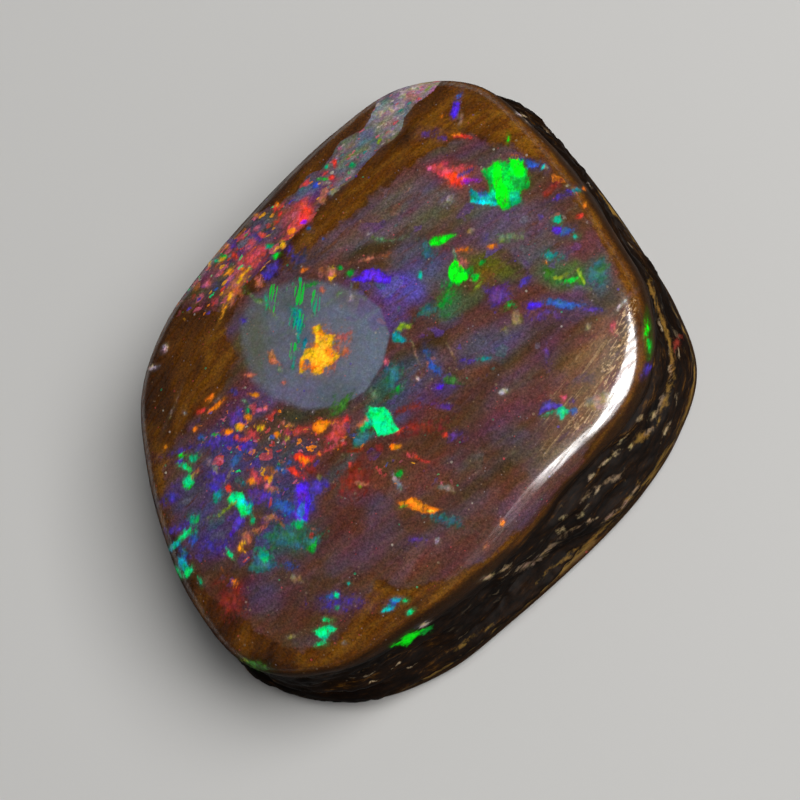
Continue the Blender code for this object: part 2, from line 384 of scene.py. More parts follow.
# Smaller flashes by colour: middle, length, width, turn in degrees from level, and how soft
SPOTS = {
    "leaf": (
        (472, 275, 5, 6, 0, 0.9), (508, 140, 7, 3, 80, 0.7), (183, 456, 8, 4, 10, 0.8),
        (647, 332, 16, 2.6, 92, 0.9), (188, 487, 6, 4, 0, 0.8),
    ),
    "green": (
        (475, 277, 11, 9, 60, 1.2), (189, 531, 8, 4, 20, 0.8), (570, 280, 16, 5, 10, 1.6),
        (217, 434, 7, 3, 0, 0.9), (649, 345, 14, 2, 92, 1.0), (277, 256, 8, 5, 40, 0.8),
        (326, 178, 10, 3, 15, 0.7), (224, 257, 5, 4, 0, 0.9),
    ),
    "forest": (
        (469, 270, 9, 9, 0, 1.8), (508, 307, 10, 6, 25, 1.4), (525, 186, 8, 7, 0, 1.4),
        (397, 387, 16, 9, 40, 2.2), (426, 633, 12, 6, 30, 1.3), (308, 287, 14, 4, 20, 1.0),
        (350, 273, 8, 6, 30, 0.9), (481, 262, 5, 4, 0, 1.2), (340, 267, 5, 4, 0, 1.0),
        (399, 474, 9, 7, 0, 1.6),
    ),
    "moss": (
        (255, 664, 22, 7, -20, 1.5), (340, 404, 26, 12, 45, 2.4), (452, 380, 14, 10, 0, 2.2),
    ),
    "sage": (
        (454, 253, 12, 5, -60, 0.9), (508, 238, 24, 8, 8, 2.0), (244, 402, 5, 4, 0, 0.9),
        (385, 239, 24, 4, 3, 1.6), (260, 303, 40, 3, -42, 1.6), (321, 308, 30, 2, 35, 1.4),
        (280, 371, 6, 6, 0, 0.9), (250, 267, 5, 5, 0, 0.9), (375, 395, 7, 7, 0, 1.6),
    ),
    "lime": (
        (477, 285, 12, 4, 50, 1.4), (582, 277, 18, 4, -60, 1.6), (404, 507, 9, 3, 0, 1.0),
        (245, 661, 8, 2, 10, 1.0), (228, 509, 22, 3, 25, 1.3), (560, 276, 14, 3, 15, 1.4),
        (379, 142, 7, 4, 60, 0.9), (428, 87, 10, 3, 60, 0.9), (361, 486, 5, 4, 0, 1.2),
    ),
    "emerald": (
        (189, 482, 14, 7, 75, 0.9), (184, 535, 20, 6, 35, 0.9), (186, 468, 13, 6, -10, 0.9),
        (187, 570, 12, 8, 60, 1.0), (179, 571, 9, 5, 110, 0.9), (337, 596, 5, 5, 0, 0.8),
        (328, 620, 8, 5, -20, 0.8), (321, 644, 10, 5, 20, 0.9), (411, 612, 8, 5, 30, 0.8),
        (404, 601, 8, 5, 15, 0.8), (493, 193, 8, 7, 0, 1.4), (230, 553, 12, 4, -55, 0.8),
        (248, 505, 6, 9, 0, 1.2),
    ),
    "jade": (
        (194, 458, 13, 6, 40, 1.0), (195, 521, 11, 13, 0, 1.8), (557, 220, 11, 9, 0, 1.2),
        (575, 237, 7, 6, 0, 1.5), (264, 553, 12, 14, 60, 2.0), (298, 524, 10, 10, 0, 2.0),
        (201, 582, 8, 4, -70, 0.9), (349, 583, 4, 3, 0, 0.8), (337, 608, 4, 5, 0, 0.8),
        (293, 357, 14, 3, 88, 1.0), (247, 410, 9, 4, 90, 0.9), (266, 304, 12, 3, 85, 1.2),
        (252, 519, 8, 4, 80, 1.0), (270, 246, 9, 6, 15, 0.9), (325, 167, 5, 4, 0, 0.8),
        (217, 262, 5, 5, 0, 0.9), (352, 164, 6, 5, 40, 1.0),
    ),
    "teal": (
        (484, 359, 16, 4, 0, 1.3), (388, 378, 9, 8, 0, 1.8), (299, 335, 18, 5, 88, 1.6),
        (243, 483, 7, 6, 0, 1.3), (218, 495, 12, 8, 30, 1.6), (575, 191, 9, 4, 20, 1.2),
        (195, 535, 8, 6, 40, 1.6), (305, 345, 12, 4, 88, 1.6), (552, 256, 14, 9, 0, 2.4),
        (332, 598, 7, 9, 0, 1.3),
    ),
    "dusk": (
        (300, 258, 20, 10, 30, 4.0),
    ),
    "dull teal": (
        (392, 376, 26, 22, 30, 3.0), (598, 273, 18, 26, -20, 3.0), (430, 310, 20, 12, 30, 3.0),
        (290, 538, 50, 22, 0, 4.0), (428, 250, 10, 18, 20, 2.0), (447, 520, 30, 9, -18, 2.6),
    ),
    "cyan": (
        (174, 545, 14, 7, 50, 0.9), (182, 562, 16, 8, 80, 1.0), (389, 608, 9, 6, 20, 0.8),
        (397, 599, 9, 6, 0, 1.0), (419, 276, 7, 4, 90, 0.8), (245, 502, 5, 8, 60, 1.2),
    ),
    "aqua": (
        (388, 609, 6, 3, 20, 0.8), (541, 168, 5, 4, 0, 1.0),
    ),
    "blue": (
        (482, 193, 12, 5, 10, 1.2), (301, 509, 16, 6, 85, 1.3), (251, 497, 14, 10, 0, 1.8),
        (183, 553, 13, 8, 100, 1.2), (562, 304, 42, 9, -5, 1.4), (566, 230, 14, 8, 0, 1.8),
        (571, 411, 7, 6, 0, 1.4), (434, 365, 24, 7, -65, 1.8), (392, 603, 8, 7, 40, 1.2),
        (459, 98, 8, 4, 60, 1.2), (532, 163, 20, 7, -30, 1.6), (203, 438, 8, 6, 0, 1.6),
        (236, 462, 14, 8, 60, 2.2), (316, 186, 8, 6, 0, 1.3), (280, 470, 12, 8, 0, 2.0),
        (284, 508, 22, 14, 0, 2.8), (194, 541, 14, 7, 60, 1.6), (330, 596, 8, 8, 0, 1.6),
        (290, 566, 10, 6, 0, 1.8), (322, 239, 4, 3, 0, 1.0), (309, 230, 4, 3, 0, 1.0),
    ),
    "violet": (
        (590, 310, 14, 6, 0, 1.8), (470, 359, 10, 3, 0, 1.3), (270, 272, 22, 12, 45, 2.0),
        (289, 252, 6, 9, 0, 1.6), (524, 283, 14, 6, 35, 1.3), (563, 196, 14, 4, 25, 1.6),
        (647, 370, 12, 5, 55, 1.3), (170, 497, 16, 9, 30, 2.0), (188, 449, 30, 5, 15, 1.8),
        (216, 480, 22, 20, 0, 2.8), (263, 496, 26, 14, 0, 3.4), (212, 546, 20, 10, 20, 3.4),
        (222, 440, 30, 14, 10, 4.0), (340, 602, 22, 8, 0, 4.0), (243, 319, 8, 7, 0, 1.6),
        (247, 447, 12, 10, 0, 2.0), (180, 527, 24, 6, 20, 1.8), (234, 393, 8, 7, 0, 1.6),
        (181, 463, 8, 5, 0, 1.0),
    ),
    "indigo": (
        (535, 304, 15, 7, 0, 1.1), (557, 230, 9, 7, 0, 1.3), (439, 387, 9, 6, 0, 1.1),
        (234, 532, 9, 6, 50, 1.2), (301, 483, 12, 6, 0, 1.6),
    ),
    "purple": (
        (466, 173, 20, 5, 20, 1.6), (449, 387, 12, 4, 5, 1.5), (441, 405, 24, 6, -22, 1.5),
        (441, 137, 8, 6, 0, 1.4), (430, 134, 12, 5, 10, 1.8), (571, 404, 6, 7, 0, 1.5),
        (545, 316, 32, 7, 0, 2.2), (255, 492, 16, 9, 0, 2.0), (236, 419, 14, 20, 0, 2.4),
        (497, 295, 22, 20, 0, 3.0), (420, 541, 14, 5, 10, 2.2), (548, 356, 6, 16, 0, 2.2),
        (259, 235, 14, 9, 20, 1.8), (455, 436, 12, 8, 0, 2.4), (232, 243, 12, 10, 0, 2.0),
    ),
    "magenta": (
        (469, 182, 16, 6, 15, 0.8), (304, 223, 6, 4, 0, 1.2),
    ),
    "maroon": (
        (221, 581, 18, 4, 35, 1.4), (355, 449, 26, 4, 12, 1.5), (309, 470, 10, 8, 0, 1.8),
        (679, 344, 14, 6, 75, 1.5), (362, 470, 12, 20, 0, 2.0), (410, 408, 30, 5, 5, 2.0),
        (380, 449, 8, 6, 0, 1.4), (427, 427, 40, 12, 15, 3.2),
    ),
    "red": (
        (464, 138, 15, 3, -4, 0.8), (580, 216, 8, 5, 10, 0.8), (201, 411, 8, 5, 40, 1.0),
        (229, 488, 7, 8, 0, 0.9), (446, 434, 6, 7, 0, 1.2), (401, 428, 9, 3, 30, 0.9),
        (420, 459, 14, 2, -20, 0.9), (304, 478, 5, 4, 0, 1.0), (348, 463, 4, 4, 0, 0.9),
        (310, 534, 5, 5, 0, 1.0), (335, 163, 6, 8, 0, 0.9), (332, 177, 7, 7, 40, 0.9),
        (276, 222, 10, 4, 45, 0.9), (280, 215, 6, 4, 60, 0.8), (275, 210, 9, 4, 55, 0.8),
        (234, 256, 6, 8, 0, 1.0), (346, 418, 6, 6, 0, 1.6), (325, 173, 4, 3, 0, 0.8),
    ),
    "rose": (
        (564, 396, 6, 8, 0, 1.4), (613, 328, 6, 11, 0, 1.5), (410, 456, 14, 5, -15, 1.0),
        (256, 477, 18, 9, -50, 1.5), (237, 437, 7, 6, 0, 0.9), (244, 440, 8, 5, 0, 1.1),
        (254, 434, 12, 9, 0, 2.0), (296, 431, 18, 6, 10, 1.8), (271, 503, 3, 7, 0, 0.9),
        (262, 234, 9, 6, 0, 1.0), (252, 243, 7, 6, 40, 1.2), (306, 184, 6, 5, 0, 0.9),
        (215, 303, 12, 5, 50, 1.4), (240, 238, 7, 5, 0, 1.2), (337, 446, 22, 4, 20, 1.8),
        (257, 262, 16, 6, 40, 1.6), (334, 436, 12, 6, 20, 1.6),
    ),
    "pink": (
        (266, 407, 8, 6, -40, 0.9), (268, 487, 8, 8, 0, 1.5), (386, 361, 5, 6, 0, 1.5),
        (285, 443, 5, 4, 0, 0.8), (206, 284, 8, 4, 10, 1.2), (341, 150, 4, 4, 0, 0.8),
        (259, 407, 5, 4, 0, 1.0), (431, 168, 6, 6, 0, 1.3),
    ),
    "orange": (
        (322, 333, 9, 7, 40, 3.0), (329, 352, 9, 12, 20, 3.4), (318, 370, 12, 7, 0, 3.0),
        (304, 365, 6, 9, 0, 2.0), (316, 346, 6, 5, 0, 3.0), (441, 115, 7, 3, 75, 0.7),
        (453, 135, 9, 2, -10, 0.8), (584, 188, 4, 3, 0, 0.7), (586, 204, 5, 6, 0, 0.8),
        (216, 406, 19, 5, 35, 0.8), (209, 397, 11, 4, 45, 0.8), (195, 429, 6, 6, 0, 0.9),
        (248, 417, 9, 7, 20, 0.8), (228, 431, 12, 7, -5, 0.8), (277, 435, 6, 6, 0, 0.8),
        (235, 582, 8, 8, 40, 0.9), (250, 481, 9, 7, 0, 0.9), (267, 478, 6, 5, 0, 0.9),
        (304, 460, 9, 4, -20, 0.9), (395, 445, 10, 6, 10, 0.8), (502, 523, 8, 6, 80, 0.8),
        (253, 394, 8, 4, 10, 0.8), (165, 446, 4, 5, 0, 0.7), (305, 270, 9, 4, 10, 0.8),
        (493, 245, 8, 6, 20, 0.9), (517, 156, 13, 3, 5, 0.9), (258, 214, 5, 4, 0, 0.7),
        (278, 206, 4, 5, 0, 0.7), (214, 256, 8, 5, 50, 0.8), (226, 246, 7, 5, 50, 0.9),
        (461, 250, 11, 4, 0, 1.4), (545, 263, 4, 3, 0, 0.9), (292, 231, 12, 6, 30, 1.2),
        (318, 453, 4, 4, 0, 0.8), (242, 268, 6, 5, 0, 0.9),
    ),
    "amber": (
        (237, 282, 26, 4, 56, 0.9), (229, 296, 20, 3, 60, 0.8), (224, 311, 16, 3, 66, 0.8),
        (246, 270, 10, 4, 40, 0.9), (229, 271, 10, 3, 45, 0.8), (217, 252, 8, 3, 50, 0.8),
        (223, 259, 7, 3, 40, 0.8), (240, 428, 8, 8, 0, 0.8), (258, 427, 4, 7, 0, 0.8),
        (263, 427, 4, 8, 0, 0.8), (244, 545, 6, 4, 40, 0.7), (241, 551, 6, 6, 0, 0.7),
        (245, 554, 4, 4, 0, 0.7), (282, 245, 6, 8, 0, 0.9), (271, 481, 8, 4, 85, 0.8),
        (209, 263, 5, 7, 0, 0.9), (318, 372, 10, 8, 20, 1.4),
    ),
    "yellow": (
        (288, 438, 4, 4, 0, 0.7), (430, 510, 6, 3, 0, 0.8), (194, 474, 9, 2, 50, 0.8),
        (211, 262, 3, 4, 0, 0.8), (231, 288, 4, 5, 0, 0.9),
    ),
    "salmon": (
        (197, 469, 9, 3, 50, 0.9), (271, 519, 18, 5, -22, 1.2), (258, 528, 14, 6, 20, 1.3),
        (281, 525, 12, 3, -35, 1.0), (246, 538, 8, 13, 0, 1.6), (284, 425, 9, 3, -15, 0.9),
        (272, 472, 13, 7, -40, 1.6), (273, 491, 10, 6, 0, 1.5), (311, 529, 7, 3, -10, 0.9),
        (249, 374, 11, 5, 10, 0.8), (284, 383, 6, 6, 0, 0.9), (321, 289, 6, 6, 0, 0.9),
        (362, 484, 20, 4, -8, 1.2), (368, 259, 26, 3, 12, 1.4), (260, 281, 10, 13, 0, 2.0),
        (362, 422, 14, 7, 30, 1.8), (328, 271, 14, 9, 0, 3.0), (485, 546, 6, 3, 70, 1.2),
        (463, 262, 8, 10, 0, 2.2), (235, 290, 10, 16, 20, 1.8), (291, 424, 8, 4, 0, 1.2),
    ),
    "gold": (
        (656, 297, 42, 4, -70, 1.1), (668, 333, 40, 5, -74, 1.1), (664, 322, 30, 3, -72, 1.0),
        (673, 362, 36, 5, -84, 1.1), (670, 384, 30, 3, 86, 1.1), (663, 404, 26, 3, 68, 1.1),
        (655, 423, 22, 4, 60, 1.1), (644, 438, 24, 5, 48, 1.1), (631, 496, 22, 4, 46, 1.1),
        (614, 516, 26, 3, 46, 1.1), (593, 540, 26, 3, 42, 1.1), (570, 557, 30, 3, 38, 1.1),
        (549, 572, 24, 3, 38, 1.1), (466, 643, 24, 4, 32, 1.0), (487, 628, 16, 3, 35, 1.0),
    ),
    "tan": (
        # The first ten lie on the wall: golden beds, with painted glints among them where the beds catch
        # the light
        (615, 478, 20, 4, 45, 0.9), (650, 430, 14, 4, 50, 0.9), (635, 492, 14, 5, 42, 0.9),
        (625, 503, 16, 4, 48, 1.0), (610, 518, 18, 4, 48, 1.0), (572, 532, 20, 3, 35, 1.0),
        (548, 552, 22, 3, 38, 1.1), (525, 566, 20, 3, 35, 1.1), (586, 498, 14, 3, 45, 1.0),
        (660, 405, 16, 3, 70, 1.0), (447, 488, 18, 8, -8, 1.1), (319, 479, 5, 7, 0, 0.9),
        (217, 399, 7, 3, 40, 0.9), (291, 636, 12, 4, 25, 0.9), (345, 644, 5, 4, 0, 0.9),
        (470, 231, 8, 9, 0, 1.4), (599, 401, 26, 17, 25, 1.3), (588, 327, 5, 8, 0, 1.2),
        (172, 412, 18, 2, 65, 0.9), (461, 121, 4, 12, 0, 1.3), (297, 578, 12, 6, -20, 1.6),
        (517, 319, 9, 11, 0, 2.0), (506, 331, 8, 6, 0, 1.4), (414, 352, 20, 2, -70, 0.9),
        (451, 352, 10, 2, -60, 0.9),
    ),
    "glint": (
        (624, 439, 11, 4, 45, 1.0), (607, 463, 11, 4, 50, 1.0), (633, 449, 6, 3, 45, 1.0),
        (617, 453, 7, 3, 45, 1.0), (593, 476, 9, 3, 50, 1.0), (653, 414, 10, 3, 60, 1.0),
        (668, 432, 14, 4, 55, 1.0), (564, 518, 9, 3, 40, 1.0), (583, 515, 7, 3, 35, 1.0),
        (591, 520, 12, 2, 30, 1.0), (562, 531, 8, 3, 40, 1.0), (676, 450, 9, 3, 80, 1.0),
        (671, 370, 10, 3, 85, 1.0), (600, 492, 8, 3, 45, 1.0), (640, 420, 7, 3, 50, 1.0),
        (488, 577, 10, 3, 30, 1.0), (506, 569, 9, 3, 30, 1.0),
    ),
    "pale": (
        (397, 481, 15, 6, -62, 1.2), (448, 201, 9, 7, 20, 1.8), (351, 297, 6, 5, 0, 1.6),
        (229, 477, 18, 2, 65, 1.0), (213, 468, 20, 4, -55, 2.0), (544, 169, 4, 4, 0, 0.8),
        (567, 186, 4, 3, 0, 0.8), (328, 186, 5, 3, 40, 0.9), (435, 541, 5, 5, 0, 1.4),
        (345, 150, 18, 3, 50, 1.6), (333, 190, 14, 4, 40, 1.6), (392, 130, 24, 5, 50, 2.0),
    ),
    "cream": (
        (151, 368, 9, 5, 25, 0.9), (164, 347, 8, 6, 60, 1.0), (504, 392, 7, 6, 20, 1.0),
        (417, 379, 4, 4, 0, 0.8), (185, 413, 3, 3, 0, 0.7), (424, 625, 9, 3, 30, 0.9),
        (402, 96, 8, 4, 20, 1.2), (393, 106, 16, 4, 30, 1.8), (383, 113, 14, 3, 40, 1.6),
        # The five from 520, 113 to 591, 183 are painted glints along the top edge of the wall
        (520, 113, 7, 4, -20, 0.7), (527, 119, 8, 4, -45, 0.7), (553, 139, 9, 3, -50, 0.7),
        (567, 155, 15, 4, -55, 0.7), (591, 183, 9, 3, -52, 0.8), (624, 303, 12, 2, 45, 0.8),
        (313, 412, 3, 3, 0, 0.7), (416, 90, 12, 4, 40, 1.6), (369, 235, 4, 4, 0, 1.0),
    ),
}

# Soft glows inside the stone: colour, how far it covers, middle, length, width and turn.
# Each covers the ones before it.
WASHES = rows(
    Wash,
    (0.124, 0.094, 0.092, 0.9, 410, 205, 160, 64, 15), (0.185, 0.096, 0.12, 1.0, 354, 236, 90, 34, 20),
    (0.09, 0.1, 0.115, 0.7, 500, 215, 60, 34, 0), (0.056, 0.036, 0.028, 0.9, 604, 292, 40, 70, 25),
    # The golden washes at 566, 436 and at 588, 375 lie beside the highlight: the stone's golden brown with
    # painted sheen from the highlight
    (0.19, 0.084, 0.04, 0.9, 566, 436, 36, 90, -35), (0.104, 0.07, 0.112, 0.9, 520, 235, 120, 80, -30),
    (0.09, 0.055, 0.105, 0.7, 335, 235, 110, 50, 30), (0.165, 0.074, 0.024, 0.9, 588, 375, 64, 140, -25),
    (0.112, 0.04, 0.026, 0.8, 420, 560, 200, 90, 40), (0.104, 0.04, 0.018, 0.8, 290, 612, 150, 60, -10),
    (0.15, 0.082, 0.066, 0.7, 418, 552, 90, 16, 52), (0.1, 0.048, 0.072, 0.6, 460, 520, 110, 30, 40),
    (0.13, 0.07, 0.07, 0.6, 530, 492, 100, 26, 42), (0.085, 0.05, 0.17, 0.8, 282, 266, 44, 22, 40),
    (0.085, 0.085, 0.15, 0.9, 418, 264, 70, 56, -20), (0.095, 0.065, 0.4, 1.0, 398, 289, 62, 36, -15),
    (0.1, 0.055, 0.22, 0.9, 396, 316, 30, 46, -15), (0.075, 0.075, 0.15, 0.8, 408, 388, 40, 60, 20),
    (0.072, 0.035, 0.006, 0.95, 374, 249, 74, 18, 15), (0.095, 0.11, 0.05, 0.7, 248, 345, 34, 50, -20),
    (0.105, 0.105, 0.008, 1.0, 490, 266, 66, 34, -12), (0.16, 0.07, 0.008, 0.7, 486, 277, 26, 18, -30),
    (0.07, 0.036, 0.012, 0.8, 512, 262, 50, 14, -35), (0.05, 0.15, 0.028, 0.8, 566, 276, 66, 34, -5),
    (0.05, 0.12, 0.11, 0.7, 598, 275, 30, 44, -10), (0.05, 0.13, 0.07, 0.9, 450, 305, 30, 44, -35),
    (0.08, 0.085, 0.04, 0.7, 470, 300, 50, 16, 35), (0.08, 0.075, 0.12, 0.7, 488, 345, 90, 40, 20),
    (0.064, 0.026, 0.006, 1.0, 430, 343, 62, 24, 30), (0.105, 0.04, 0.028, 0.8, 484, 314, 70, 18, 28),
    (0.06, 0.048, 0.014, 0.9, 404, 360, 30, 26, 30), (0.08, 0.075, 0.13, 0.7, 420, 372, 60, 40, 40),
    (0.03, 0.11, 0.08, 0.8, 382, 392, 30, 50, -35), (0.06, 0.08, 0.16, 0.7, 396, 412, 40, 20, -30),
    (0.072, 0.028, 0.018, 1.0, 352, 391, 66, 13, 48), (0.055, 0.04, 0.018, 0.9, 296, 414, 84, 18, 4),
    (0.085, 0.04, 0.02, 0.8, 432, 432, 120, 50, 25), (0.11, 0.052, 0.036, 0.6, 520, 390, 120, 44, 45),
    (0.17, 0.03, 0.02, 0.8, 360, 470, 40, 56, 0), (0.08, 0.08, 0.08, 0.8, 344, 462, 66, 14, 50),
    (0.075, 0.06, 0.15, 0.9, 196, 505, 60, 100, -10), (0.07, 0.068, 0.16, 0.9, 232, 458, 90, 50, -5),
    (0.05, 0.06, 0.18, 0.9, 290, 500, 60, 60, 0), (0.055, 0.06, 0.09, 0.8, 282, 455, 60, 40, 0),
    (0.075, 0.05, 0.13, 0.8, 262, 400, 50, 40, 30), (0.045, 0.1, 0.095, 1.0, 284, 540, 66, 40, 10),
    (0.075, 0.045, 0.15, 0.8, 218, 540, 60, 40, 20), (0.075, 0.035, 0.03, 0.9, 222, 565, 60, 16, 5),
    (0.16, 0.026, 0.01, 0.9, 231, 596, 30, 44, -50), (0.08, 0.045, 0.1, 0.7, 262, 598, 50, 44, 0),
    (0.08, 0.05, 0.13, 0.6, 336, 602, 50, 22, 0), (0.085, 0.06, 0.006, 0.8, 425, 150, 76, 24, 12),
    (0.2, 0.045, 0.035, 0.7, 455, 175, 60, 34, -10), (0.1, 0.034, 0.03, 0.7, 553, 190, 44, 24, 30),
    (0.06, 0.04, 0.12, 0.7, 446, 392, 34, 30, 20),
)

# The vein on the far shoulder, from its pale end to its purple end
VEIN_WASHES = rows(
    Wash,
    (0.34, 0.24, 0.27, 1.0, 420, 92, 60, 40, 40), (0.27, 0.215, 0.24, 1.0, 388, 118, 66, 46, 45),
    (0.16, 0.165, 0.21, 1.0, 358, 146, 50, 40, 45), (0.17, 0.12, 0.16, 0.9, 338, 172, 44, 36, 45),
    (0.1, 0.1, 0.15, 1.0, 308, 192, 44, 30, 45), (0.42, 0.08, 0.1, 0.9, 298, 214, 46, 34, 45),
    (0.11, 0.075, 0.125, 1.0, 262, 232, 46, 30, 42), (0.3, 0.07, 0.12, 0.9, 252, 258, 50, 30, 42),
    (0.36, 0.11, 0.05, 0.9, 236, 284, 44, 20, 54), (0.16, 0.06, 0.07, 0.9, 212, 272, 44, 26, 45),
    (0.1, 0.045, 0.05, 1.0, 192, 298, 44, 44, 45),
)

# The oval of plain opal: greenish on its left, paler and bluer on its right
POTCH_WASHES = rows(
    Wash,
    (0.118, 0.125, 0.09, 0.9, 250, 345, 50, 100, 0), (0.15, 0.14, 0.23, 0.9, 300, 398, 130, 36, 8),
    (0.155, 0.195, 0.265, 0.9, 358, 345, 76, 110, 15), (0.15, 0.12, 0.13, 0.7, 352, 296, 50, 30, -20),
    (0.1, 0.12, 0.12, 0.8, 290, 296, 60, 36, 0), (0.1, 0.14, 0.15, 0.6, 330, 392, 50, 30, 30),
)

# Zones: how strongly each is felt, its middle, length, width and turn. First where small
# flecks crowd, then where the polish is dull, where scratches get painted highlights, where
# painted sparkle lies, and where the stone is dark: dark ironstone, with painted shade along
# the edges turned from the light.
COOL_ZONES = rows(
    Zone,
    (1.0, 232, 500, 150, 180, 10), (0.7, 400, 300, 150, 90, -15), (0.5, 545, 230, 150, 170, 0),
    (0.6, 400, 400, 140, 90, 30), (0.45, 470, 370, 170, 90, 20), (0.12, 300, 600, 160, 90, 0),
    (0.35, 430, 210, 160, 90, 10), (0.12, 460, 490, 180, 90, 40),
)
WARM_ZONES = rows(
    Zone,
    (0.85, 258, 442, 140, 90, -12), (0.6, 330, 440, 130, 50, 0), (0.55, 262, 482, 90, 50, 10),
    (0.3, 400, 470, 130, 50, -5), (0.16, 560, 200, 110, 60, -50), (0.35, 240, 560, 60, 70, 60),
)
COMB_ZONES = rows(
    Zone,
    (1.0, 274, 298, 16, 34, 0), (1.0, 298, 292, 28, 36, 0), (0.9, 316, 303, 12, 40, 0),
    (0.8, 297, 320, 26, 26, 0), (0.8, 294, 352, 14, 26, 0),
)
# Where the rim's painted shade is held back, so the rim stays lighter
LESS_RIM_SHADE = rows(Zone, (1.0, 545, 500, 190, 70, 48))
DULLED = rows(Zone, (0.94, 509, 521, 150, 84, 48))
# Where scratches are painted pale, as if lit by the highlight beside them
LIT_SCRATCH_ZONES = rows(Zone, (1.0, 582, 395, 210, 76, 58))
# Where painted golden sparkle lies, beside the highlight
PAINTED_SPARKLE_ZONES = rows(Zone, (1.0, 619, 345, 130, 30, 72), (0.8, 590, 408, 90, 30, 48))
# Dark ironstone along edges turned from the light, with painted shade there
DARK_SHADED_ZONES = rows(
    Zone,
    (0.35, 300, 168, 200, 24, 44), (0.4, 205, 262, 90, 18, 48), (0.45, 158, 400, 34, 130, 0),
    (0.5, 178, 545, 24, 110, -20), (0.6, 312, 672, 40, 12, 10),
)

# Outlines of what the face is made of
HAZE_OUTLINE = (
    (470, 133), (520, 150), (556, 176), (585, 213), (608, 250), (625, 287), (631, 320), (631, 352),
    (625, 386), (609, 418), (590, 448), (573, 475), (552, 500), (528, 526), (497, 551), (468, 570),
    (444, 581), (408, 590), (380, 580), (362, 604), (338, 640), (302, 652), (268, 640), (235, 615),
    (205, 588), (188, 560), (172, 530), (164, 500), (160, 468), (175, 440), (200, 408), (222, 390),
    (234, 360), (226, 326), (238, 300), (262, 287), (290, 264), (318, 240), (345, 222), (372, 195),
    (405, 168), (440, 146),
)
POTCH_OUTLINE = (
    (236, 322), (250, 296), (275, 282), (305, 276), (335, 280), (362, 290), (382, 308), (391, 335),
    (384, 365), (366, 392), (340, 408), (305, 412), (272, 402), (248, 382), (240, 350),
)
VEIN_OUTLINE = (
    (446, 76), (424, 98), (404, 117), (398, 135), (380, 150), (361, 167), (352, 180), (330, 192),
    (322, 204), (315, 215), (300, 230), (289, 243), (276, 258), (259, 271), (241, 289), (233, 304),
    (222, 317), (200, 322), (176, 330), (160, 320), (180, 296), (204, 266), (222, 246), (241, 232),
    (259, 212), (280, 205), (293, 192), (307, 177), (320, 170), (328, 160), (341, 142), (354, 134),
    (369, 123), (378, 108), (382, 92), (410, 70),
)
OCHRE_OUTLINES = (
    ((205, 335), (235, 322), (238, 372), (212, 410), (190, 404), (205, 368)),
    ((146, 425), (164, 424), (172, 470), (168, 505), (156, 490)),
    ((396, 148), (412, 142), (402, 166), (370, 196), (340, 226), (302, 262), (282, 270), (300, 240),
     (332, 206), (362, 182)),
    ((420, 120), (455, 84), (500, 105), (548, 148), (590, 205), (585, 212), (556, 174), (520, 148),
     (470, 130), (440, 145), (400, 165)),
    ((300, 655), (340, 640), (372, 585), (405, 590), (444, 583), (468, 572), (484, 566), (444, 602),
     (400, 625), (345, 655), (300, 672)),
    ((590, 205), (612, 245), (632, 285), (640, 330), (628, 290), (606, 250), (585, 213)),
    ((637, 352), (630, 388), (612, 422), (577, 475), (530, 528), (497, 555), (504, 562), (538, 536),
     (584, 484), (619, 430), (638, 394), (645, 356)),
)


def closed_curve(radii, turns):
    """Radius at each turn, on a smooth closed curve through evenly spaced radii."""
    count = len(radii)
    place = np.mod(turns, 2 * math.pi) / (2 * math.pi) * count
    index = np.floor(place).astype(int)
    t = place - index
    points = np.array(radii)
    before, here, after, later = (points[(index + step) % count] for step in (-1, 0, 1, 2))
    return 0.5 * (
        2 * here
        + (after - before) * t
        + (2 * before - 5 * here + 4 * after - later) * t ** 2
        + (3 * here - before - 3 * after + later) * t ** 3
    )


def dome_height(turns, radius):
    """Height of the polished face at each turn and distance from the stone's axis."""
    wide = radius * np.cos(turns - DOME_TURN) / DOME_HALF_WIDTH
    long = radius * np.sin(turns - DOME_TURN) / DOME_HALF_LENGTH
    reach = wide ** 2 + long ** 2
    return CROWN_HEIGHT - DOME_RISE * ((1 - DOME_SQUARE) * reach + DOME_SQUARE * reach ** 2)


def face_edge(turns):
    """Distance from the axis at which the face turns into the shoulder."""
    return closed_curve(RIM_RADII, turns) - SHOULDER_RUN * (1 - math.sin(SHOULDER_START))


def face_ring(turns, share):
    """One ring of the polished face: share runs from 0 at the middle to 1 at the shoulder."""
    radius = share * face_edge(turns)
    return radius, dome_height(turns, radius)


def shoulder_ring(turns, lean):
    """One ring of the rounded shoulder: lean is its angle down from level."""
    drop = dome_height(turns, face_edge(turns)) - WALL_TOP
    radius = closed_curve(RIM_RADII, turns) - SHOULDER_RUN * (1 - math.sin(lean))
    return radius, WALL_TOP + drop * math.cos(lean) / math.cos(SHOULDER_START)


def waves(turns, parts, slide):
    """A sum of sine waves round the stone: each has a count, an amount and a start."""
    return sum(amount * np.sin(count * turns + start + slide) for count, amount, start in parts)


def pit_depth(turns, radius, height):
    """How deep the pits cut into the wall at one height."""
    depth = np.zeros_like(turns)
    for turn, pit_height, half_length, half_height, pit in PITS:
        away = np.mod(turns - math.radians(turn) + math.pi, 2 * math.pi) - math.pi
        reach = (away * radius / half_length) ** 2 + ((height - pit_height) / half_height) ** 2
        depth = np.maximum(depth, pit * np.clip(1 - reach, 0, 1) ** PIT_SLOPE)
    return depth


